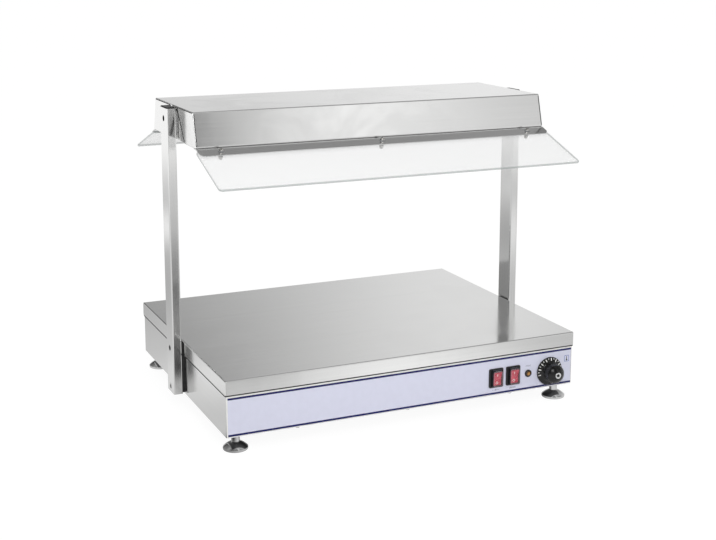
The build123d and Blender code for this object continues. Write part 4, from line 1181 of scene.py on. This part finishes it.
@dataclass
class Hood(SubAssembly):
    """The folded hood with its lamps and reflector."""

    end_face: float = 326.0 * MM
    tab_top: Size = (23.0 * MM, 531.0 * MM)
    tab_foot: Size = (63.0 * MM, 478.4 * MM)
    # Sizes of the dark strips that paint the shade along the seams and folds.
    seam_shade_width: float = 2.4 * MM
    seam_shade_sink: float = 1.1 * MM
    seam_shade_proud: float = 0.25 * MM
    seam_shade_round: float = 1 / 2.2
    top_seam_shade: tuple[Size, Size] = ((26.0 * MM, 532.2 * MM), (109.0 * MM, 532.2 * MM))
    top_shade_width: float = 1.5 * MM
    top_shade_sink: float = 0.05 * MM
    fold: tuple[Size, Size] = ((112.3 * MM, 531.0 * MM), (126.2 * MM, 479.0 * MM))
    fold_shade_size: tuple[float, float, float] = (1.5 * MM, 0.15 * MM, 0.5 * MM)
    fold_shade_inset: float = 1.7 * MM
    lamp_y: float = 55.0 * MM
    lamp_height: float = 492.0 * MM
    lamp_radius: float = 5.0 * MM
    lamp_reach: float = 304.0 * MM
    tube_wall: float = 1.0 * MM
    wire_radius: float = 0.35 * MM
    coil_radius: float = 2.2 * MM
    coil_reach: float = 274.0 * MM
    coil_pitch: float = 4.0 * MM
    coil_steps: int = 12
    weld: float = 0.01 * MM
    finishes: Finishes = (
        (HOOD_STEEL, "hood_shell", "left_hood_end", "right_hood_end"),
        (GREY_RUBBER, "hood_spacers"), (REFLECTOR_METAL, "reflector"),
        (WHITE_CERAMIC, "lamp_holders", "hood_terminal"),
        (QUARTZ, "front_heat_lamp", "rear_heat_lamp"))

    def seam(self, start: Size, end: Size, width: float, sink: float) -> list[Piece]:
        """Model one dark strip along a seam on the hood's ends, on both ends and both sides:
        painted shade along the seam.

        Args:
            start: one end of the seam, as y and z on the front side.
            end: the other end.
            width: how wide it is.
            sink: how deep its back lies under the end face.

        Returns:
            The four strips.
        """
        run = Vector(end) - Vector(start)
        middle = (Vector(start) + Vector(end)) / 2
        strips = []
        for end_side in (-1, 1):
            outwards = Matrix(((0, 0, end_side, end_side * (self.end_face - sink)),
                               (end_side, 0, 0, 0), (0, 1, 0, 0), (0, 0, 0, 1)))
            for side in (-1, 1):
                strip = flat_bar((run.length, width), sink + self.seam_shade_proud,
                                 width * self.seam_shade_round)
                lean = math.atan2(run.y, side * run.x)
                turn = Matrix.Rotation(lean if end_side > 0 else math.pi - lean, 4, "Z")
                spot = Matrix.Translation((0, side * middle.x, middle.y))
                strips.append(place(strip, spot @ outwards @ turn))
        return strips

    def fold_shade_strips(self) -> list[Piece]:
        """Model a dark strip beside each corner fold, flat on the sloping faces: painted shade
        along the fold.

        Returns:
            The four strips.
        """
        width, thickness, rounding = self.fold_shade_size
        (top_y, top_z), (foot_y, foot_z) = self.fold
        length = math.hypot(foot_y - top_y, top_z - foot_z)
        lean = math.atan2(foot_y - top_y, top_z - foot_z)
        slope = Matrix.Rotation(math.radians(90) - lean, 4, "X")
        strips = []
        for side in (-1, 1):
            turn = Matrix.Rotation(0.0 if side < 0 else math.pi, 4, "Z")
            for end_side in (-1, 1):
                strip = flat_bar((width, length), thickness, rounding)
                spot = Matrix.Translation((end_side * (self.end_face - self.fold_shade_inset),
                                           side * (top_y + foot_y) / 2, (top_z + foot_z) / 2))
                strips.append(place(strip, spot @ turn @ slope))
        return strips

    def paint_seam_shade(self) -> None:
        """Model dark strips along the tabs, under the top's ends and beside the folds: painted
        shade along these seams and folds.
        """
        shade_strips = self.seam(self.tab_top, self.tab_foot, self.seam_shade_width, self.seam_shade_sink)
        shade_strips += self.seam(*self.top_seam_shade, self.top_shade_width, self.top_shade_sink)
        shade_strips += self.fold_shade_strips()
        finish_piece(join(shade_strips), "hood_painted_seam_shade", "warmer", BLACK_RUBBER_AND_SHADE)

    def lamp_tube(self) -> Piece:
        """Model one lamp's quartz tube along Z.

        Returns:
            The tube.
        """
        clear_selection()
        bpy.ops.mesh.primitive_cylinder_add(vertices=32, radius=self.lamp_radius,
                                            depth=2 * self.lamp_reach, end_fill_type="NOTHING")
        tube = bpy.context.object
        apply_modifier(tube, "SOLIDIFY", thickness=self.tube_wall, offset=-1.0)
        return tube

    def lamp_filament(self) -> Piece:
        """Model one lamp's filament along Z, wound from a round wire with closed ends.

        Returns:
            The filament.
        """
        clear_selection()
        bpy.ops.mesh.primitive_circle_add(vertices=6, radius=self.wire_radius)
        coil = bpy.context.object
        place(coil, Matrix.Translation((self.coil_radius, 0, -self.coil_reach)) @ UPRIGHT)
        apply_modifier(coil, "SCREW", axis="Z", angle=math.tau, screw_offset=self.coil_pitch,
                       iterations=round(2 * self.coil_reach / self.coil_pitch),
                       steps=self.coil_steps, render_steps=self.coil_steps)
        edit_all(coil)
        bpy.ops.mesh.remove_doubles(threshold=self.weld)
        bpy.ops.mesh.fill_holes(sides=8)
        bpy.ops.mesh.normals_make_consistent(inside=False)
        clear_selection()
        return coil

    def fit_lamps(self) -> None:
        """Fit two quartz tubes, each with its filament, in place of the plain lamps."""
        across = Matrix.Rotation(math.radians(90), 4, "Y")
        for name, y in (("front", -self.lamp_y), ("rear", self.lamp_y)):
            spot = Matrix.Translation((0, y, self.lamp_height)) @ across
            tube = place(self.lamp_tube(), spot)
            finish_piece(tube, name + "_lamp_tube", "warmer", QUARTZ)
            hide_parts(name + "_heat_lamp")
            coil = place(self.lamp_filament(), spot)
            finish_piece(coil, name + "_lamp_filament", "warmer", FILAMENT)

    def build(self) -> None:
        """Dress the hood, paint the shade along its seams and folds, and fit its lamps."""
        self.dress()
        self.paint_seam_shade()
        self.fit_lamps()


@dataclass
class GlassGuards(SubAssembly):
    """The two tilted glass guards on their rails."""

    bend: Size = (126.5 * MM, 475.95 * MM)
    tilt: float = 19.0
    screw_x: tuple[float, ...] = (-287.0 * MM, 0.0, 287.0 * MM)
    screw_reach: float = 11.6 * MM
    head_radius: float = 3.8 * MM
    head_height: float = 3.0 * MM
    head_seat: float = 1.0 * MM
    shank_radius: float = 1.95 * MM
    shank_length: float = 13.0 * MM
    socket_radius: float = 2.2 * MM
    socket_depth: float = 1.7 * MM
    head_bevel: float = 0.5 * MM
    bevel_over: float = math.radians(40)
    finishes: Finishes = (
        (GUARD_GLASS, "front_guard_glass", "rear_guard_glass"),
        (RAIL_STEEL, "front_guard_rail", "rear_guard_rail", "rail_rivets"),
        (FASTENER, "front_guard_screws", "rear_guard_screws", "front_guard_nuts",
         "rear_guard_nuts"),
        (GREY_PLASTIC, "front_guard_washers", "rear_guard_washers"))

    def socket_screw(self) -> Piece:
        """Model one socket-head screw standing on z 0.

        Returns:
            The screw.
        """
        screw = turned_blank(self.head_radius, 0.0, self.head_height, sides=36)
        edit_faces(screw, lambda centre, normal: normal.z < -SQUARE_ON)
        bpy.ops.mesh.inset(thickness=self.head_radius - self.shank_radius)
        bpy.ops.mesh.extrude_region_move(
            TRANSFORM_OT_translate={"value": (0, 0, -self.shank_length)})
        apply_modifier(screw, "BEVEL", width=self.head_bevel, segments=3, limit_method="ANGLE",
                       angle_limit=self.bevel_over)
        key = turned_blank(self.socket_radius, self.head_height - self.socket_depth,
                           self.head_height + self.socket_depth, sides=6)
        apply_modifier(screw, "BOOLEAN", operation="DIFFERENCE", object=key)
        bpy.data.objects.remove(key)
        return screw

    def fit_screws(self) -> None:
        """Stand three socket-head screws on each rail."""
        pattern = self.socket_screw()
        for name, side in (("front", -1), ("rear", 1)):
            slope = Matrix.Rotation(math.radians(-side * self.tilt), 4, "X")
            start = Matrix.Translation((0, side * self.bend[0], self.bend[1])) @ slope
            seat = [start @ Matrix.Translation((x, side * self.screw_reach, self.head_seat))
                    for x in self.screw_x]
            screws = join([copy_piece(pattern, spot) for spot in seat])
            finish_piece(screws, name + "_socket_screws", "warmer", FASTENER)
            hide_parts(name + "_guard_screws")
        bpy.data.objects.remove(pattern)

    def build(self) -> None:
        """Dress the guards and fit their screws."""
        self.dress()
        self.fit_screws()


# Studio

@dataclass(frozen=True)
class Softbox:
    """One bright panel of the studio, or a dark one where its gain is negative.

    Its bearing, from the front towards +X, and its spread are in degrees.
    """

    bearing: float
    spread: float
    gain: float


@dataclass(frozen=True)
class Pool:
    """One round pool of light, or of shade where its gain is negative, on the studio floor."""

    middle: Place
    radius: float
    gain: float


@dataclass(frozen=True)
class Lamp:
    """One soft square lamp, its power in watts and its beam in degrees."""

    name: str
    spot: Place
    size: float
    power: float
    mirrored: bool = False
    aim: Place = (0.0, 0.0, 0.25)
    beam: float = 180.0


@dataclass
class Studio:
    """The plain white studio: world, floor, lamps and camera.

    A band holds the two ends of a fade: in the world along the direction's height
    or depth, and on the floor along the distance from the middle.
    """

    camera_place: Place = (-0.9153, -2.0776, 0.7950)
    camera_bearing: float = -24.154
    camera_pitch: float = 10.527
    camera_roll: float = 0.022
    lens: float = 63.98
    shift: float = -0.12
    lamps: tuple[Lamp, ...] = (
        Lamp("high_softbox", (-0.85, -1.88, 1.61), 1.0, 17.0, mirrored=True),
        Lamp("right_softbox", (1.3, -1.6, 1.1), 1.2, 3.5),
        Lamp("panel_softbox", (-0.2, -2.3, 1.0), 0.5, 0.38, aim=(0.02, -0.25, 0.06), beam=40.0))
    floor_size: float = 60.0
    floor_drop: float = 0.2 * MM
    floor_colour: Colour = (0.86, 0.86, 0.86)
    floor_glow: float = 0.86
    walls: tuple[Softbox, ...] = (
        Softbox(24.8, 6.2, 0.88), Softbox(38.0, 9.5, 0.46), Softbox(90.0, 24.0, 0.5),
        Softbox(150.5, 10.7, 0.60), Softbox(-105.0, 22.0, 0.35), Softbox(16.3, 2.6, -0.26))
    skyline: tuple[Softbox, ...] = (Softbox(148.0, 12.0, 0.12),)
    flags: tuple[Softbox, ...] = (Softbox(-168.0, 13.0, 0.8), Softbox(-68.0, 30.0, 0.7))
    ground: tuple[Softbox, ...] = (Softbox(-72.0, 12.0, 0.38),)
    pools: tuple[Pool, ...] = (
        Pool((0.12, -0.53, 0.0), 0.42, 0.42), Pool((-0.05, -1.0, 0.0), 0.55, -0.36),
        Pool((0.95, -1.05, 0.0), 0.60, 0.30), Pool((-0.33, 0.90, 0.0), 0.75, -0.20),
        Pool((-0.85, 1.42, 0.0), 0.40, 0.42), Pool((-0.50, 0.12, 0.0), 0.25, 0.25),
        Pool((-0.60, -0.345, 0.0), 0.15, 0.45), Pool((-0.41, -0.38, 0.0), 0.19, -0.60),
        Pool((-0.375, -0.24, 0.0), 0.11, -0.60), Pool((-0.14, -0.74, 0.0), 0.18, -0.50),
        Pool((-1.33, -3.63, 0.0), 1.60, -1.05))
    shadow_reach: Place = (1 / 0.323, 1 / 0.248, 0.0)
    shadow_edge: Band = (0.82, 1.02)
    shadow_level: float = 0.10
    wall_dark: float = 0.24
    wall_top: Band = (0.06, 0.345)
    horizon: float = 0.78
    zenith: float = 0.66
    zenith_edge: Band = (0.40, 0.64)
    skylight: float = 0.16
    skylight_front: Band = (-0.42, -0.24)
    skylight_back: Band = (-0.16, 0.02)
    skylight_edge: Band = (0.72, 0.84)
    flag_foot: Band = (0.02, 0.09)
    ground_dark: float = 0.66
    ground_edge: Band = (0.42, 0.8)
    far_gain: float = 0.42
    far_edge: Band = (1.9, 3.2)
    fill: float = 0.54
    white: float = 1.09

    def ring(self, bench: Bench, direction: Socket, boxes: tuple[Softbox, ...],
             dark: float) -> Socket:
        """Add up the softboxes seen along a direction.

        Args:
            bench: the bench of the tree to build in.
            direction: the direction, of any length.
            boxes: the softboxes round the object.
            dark: the level between them.

        Returns:
            The brightness.
        """
        level = bench.vector("MULTIPLY", direction, (1.0, 1.0, 0.0)).outputs[0]
        level = bench.vector("NORMALIZE", level).outputs[0]
        total = dark
        for box in boxes:
            bearing = math.radians(box.bearing)
            towards = bench.vector("DOT_PRODUCT", level,
                                   (math.sin(bearing), -math.cos(bearing), 0.0)).outputs["Value"]
            sharpness = 2.0 / math.radians(box.spread) ** 2
            lobe = bench.math("MULTIPLY_ADD", towards, sharpness, -sharpness)
            lobe = bench.math("MULTIPLY", bench.math("EXPONENT", lobe), box.gain)
            total = bench.math("ADD", lobe, total)
        return total

    def build_world(self) -> None:
        """Build the world: white to the eye, softboxes in the steel, plain fill light."""
        world = bpy.data.worlds.new("studio")
        bpy.context.scene.world = world
        bench = fresh_bench(world)
        direction = bench.add("ShaderNodeTexCoord").outputs["Generated"]
        axes = bench.add("ShaderNodeSeparateXYZ", Vector=direction).outputs
        height = axes["Z"]
        glow = bench.mix(bench.spread(height, *self.wall_top, 1.0, 0.0),
                         self.ring(bench, direction, self.walls, self.wall_dark),
                         self.ring(bench, direction, self.skyline, self.horizon))
        dimmed = bench.spread(height, *self.zenith_edge, 1.0, self.zenith)
        glow = bench.math("MULTIPLY", glow, dimmed)
        strip = bench.math("MULTIPLY", bench.spread(axes["Y"], *self.skylight_front),
                           bench.spread(axes["Y"], *self.skylight_back, self.skylight, 0.0))
        strip = bench.math("MULTIPLY", strip, bench.spread(height, *self.skylight_edge))
        glow = bench.math("ADD", glow, strip)
        shut = bench.math("MULTIPLY", self.ring(bench, direction, self.flags, 0.0),
                          bench.spread(height, *self.flag_foot))
        glow = bench.math("MULTIPLY", glow, bench.math("SUBTRACT", 1.0, shut))
        path = bench.add("ShaderNodeLightPath").outputs
        seen = bench.math("MAXIMUM", path["Is Camera Ray"], path["Is Transmission Ray"])
        lit = bench.mix(path["Is Glossy Ray"], self.fill, glow)
        back = bench.add("ShaderNodeBackground", Color=(1.0, 1.0, 1.0),
                         Strength=bench.mix(seen, lit, 1.0))
        bench.add("ShaderNodeOutputWorld", Surface=back.outputs["Background"])

    def floor_level(self, bench: Bench) -> Socket:
        """Work out how bright the floor looks in the steel.

        Args:
            bench: the bench of the floor's material.

        Returns:
            The brightness.
        """
        spot = bench.place_coordinates()
        ring = self.ring(bench, spot, self.ground, self.ground_dark)
        reach = bench.vector("LENGTH", spot).outputs["Value"]
        level = bench.mix(bench.spread(reach, *self.ground_edge), self.ground_dark, ring)
        level = bench.math("ADD", level, bench.spread(reach, *self.far_edge, 0.0, self.far_gain))
        for pool in self.pools:
            away = bench.vector("DISTANCE", spot, pool.middle).outputs["Value"]
            level = bench.math("ADD", level, bench.spread(away, 0.0, pool.radius, pool.gain, 0.0))
        footprint = bench.vector("MULTIPLY", spot, self.shadow_reach).outputs[0]
        footprint = bench.vector("ABSOLUTE", footprint).outputs[0]
        sides = bench.add("ShaderNodeSeparateXYZ", Vector=footprint).outputs
        outside = bench.spread(bench.math("MAXIMUM", sides["X"], sides["Y"]), *self.shadow_edge)
        return bench.mix(outside, self.shadow_level, level)

    def build_floor(self) -> None:
        """Build the white floor, which keeps a soft shadow."""
        clear_selection()
        bpy.ops.mesh.primitive_plane_add(size=self.floor_size, location=(0, 0, -self.floor_drop))
        floor = bpy.context.object
        floor.name = "studio_floor"
        material = bpy.data.materials.new("studio floor")
        bench = fresh_bench(material)
        path = bench.add("ShaderNodeLightPath").outputs
        seen = bench.math("MAXIMUM", path["Is Camera Ray"], path["Is Transmission Ray"])
        glossy = bench.math("MULTIPLY", path["Is Glossy Ray"],
                            bench.math("SUBTRACT", 1.0, path["Is Transmission Ray"]))
        glow = bench.add("ShaderNodeEmission", Color=(1.0, 1.0, 1.0),
                         Strength=bench.mix(glossy, self.white, self.floor_level(bench)))
        matt = bench.add("ShaderNodeBsdfDiffuse", Color=self.floor_colour)
        share = bench.math("MAXIMUM", bench.math("MULTIPLY", seen, self.floor_glow), glossy)
        bench.add("ShaderNodeOutputMaterial", Surface=bench.mix_shaders(share, matt, glow))
        floor.data.materials.append(material)

    def add_lamp(self, lamp: Lamp) -> None:
        """Hang one soft lamp.

        Args:
            lamp: the lamp; shiny surfaces show it only where it is mirrored.
        """
        light = bpy.data.lights.new(lamp.name, "AREA")
        light.size = lamp.size
        light.energy = lamp.power
        light.spread = math.radians(lamp.beam)
        holder = bpy.data.objects.new(lamp.name, light)
        holder.location = lamp.spot
        ray = Vector(lamp.aim) - Vector(lamp.spot)
        holder.rotation_euler = ray.to_track_quat("-Z", "Y").to_euler()
        holder.visible_glossy = lamp.mirrored
        bpy.context.collection.objects.link(holder)

    def build_camera(self) -> None:
        """Set the camera at the photograph's viewing angle."""
        bearing, pitch, roll = (math.radians(v) for v in (
            self.camera_bearing, self.camera_pitch, self.camera_roll))
        ahead = Vector((-math.sin(bearing) * math.cos(pitch),
                        math.cos(bearing) * math.cos(pitch), -math.sin(pitch)))
        right = Vector((math.cos(bearing), math.sin(bearing), 0.0))
        up = right.cross(ahead)
        rolled_right = right * math.cos(roll) + up * math.sin(roll)
        rolled_up = up * math.cos(roll) - right * math.sin(roll)
        turn = Matrix((rolled_right, rolled_up, -ahead)).transposed()
        eye = bpy.data.cameras.new("camera")
        eye.lens = self.lens
        eye.shift_y = self.shift
        holder = bpy.data.objects.new("camera", eye)
        holder.matrix_world = Matrix.Translation(self.camera_place) @ turn.to_4x4()
        bpy.context.collection.objects.link(holder)
        bpy.context.scene.camera = holder

    def build(self) -> None:
        """Build the whole studio."""
        bpy.context.scene.view_settings.view_transform = "Standard"
        self.build_world()
        self.build_floor()
        for lamp in self.lamps:
            self.add_lamp(lamp)
        self.build_camera()


def main() -> None:
    """Build the studio and dress the warmer, piece by piece."""
    for kind in (Studio, Base, ControlPanel, Feet, Posts, Hood, GlassGuards):
        kind().build()
        log.info("built %s", kind.__name__)


if __name__ == "__main__":
    main()
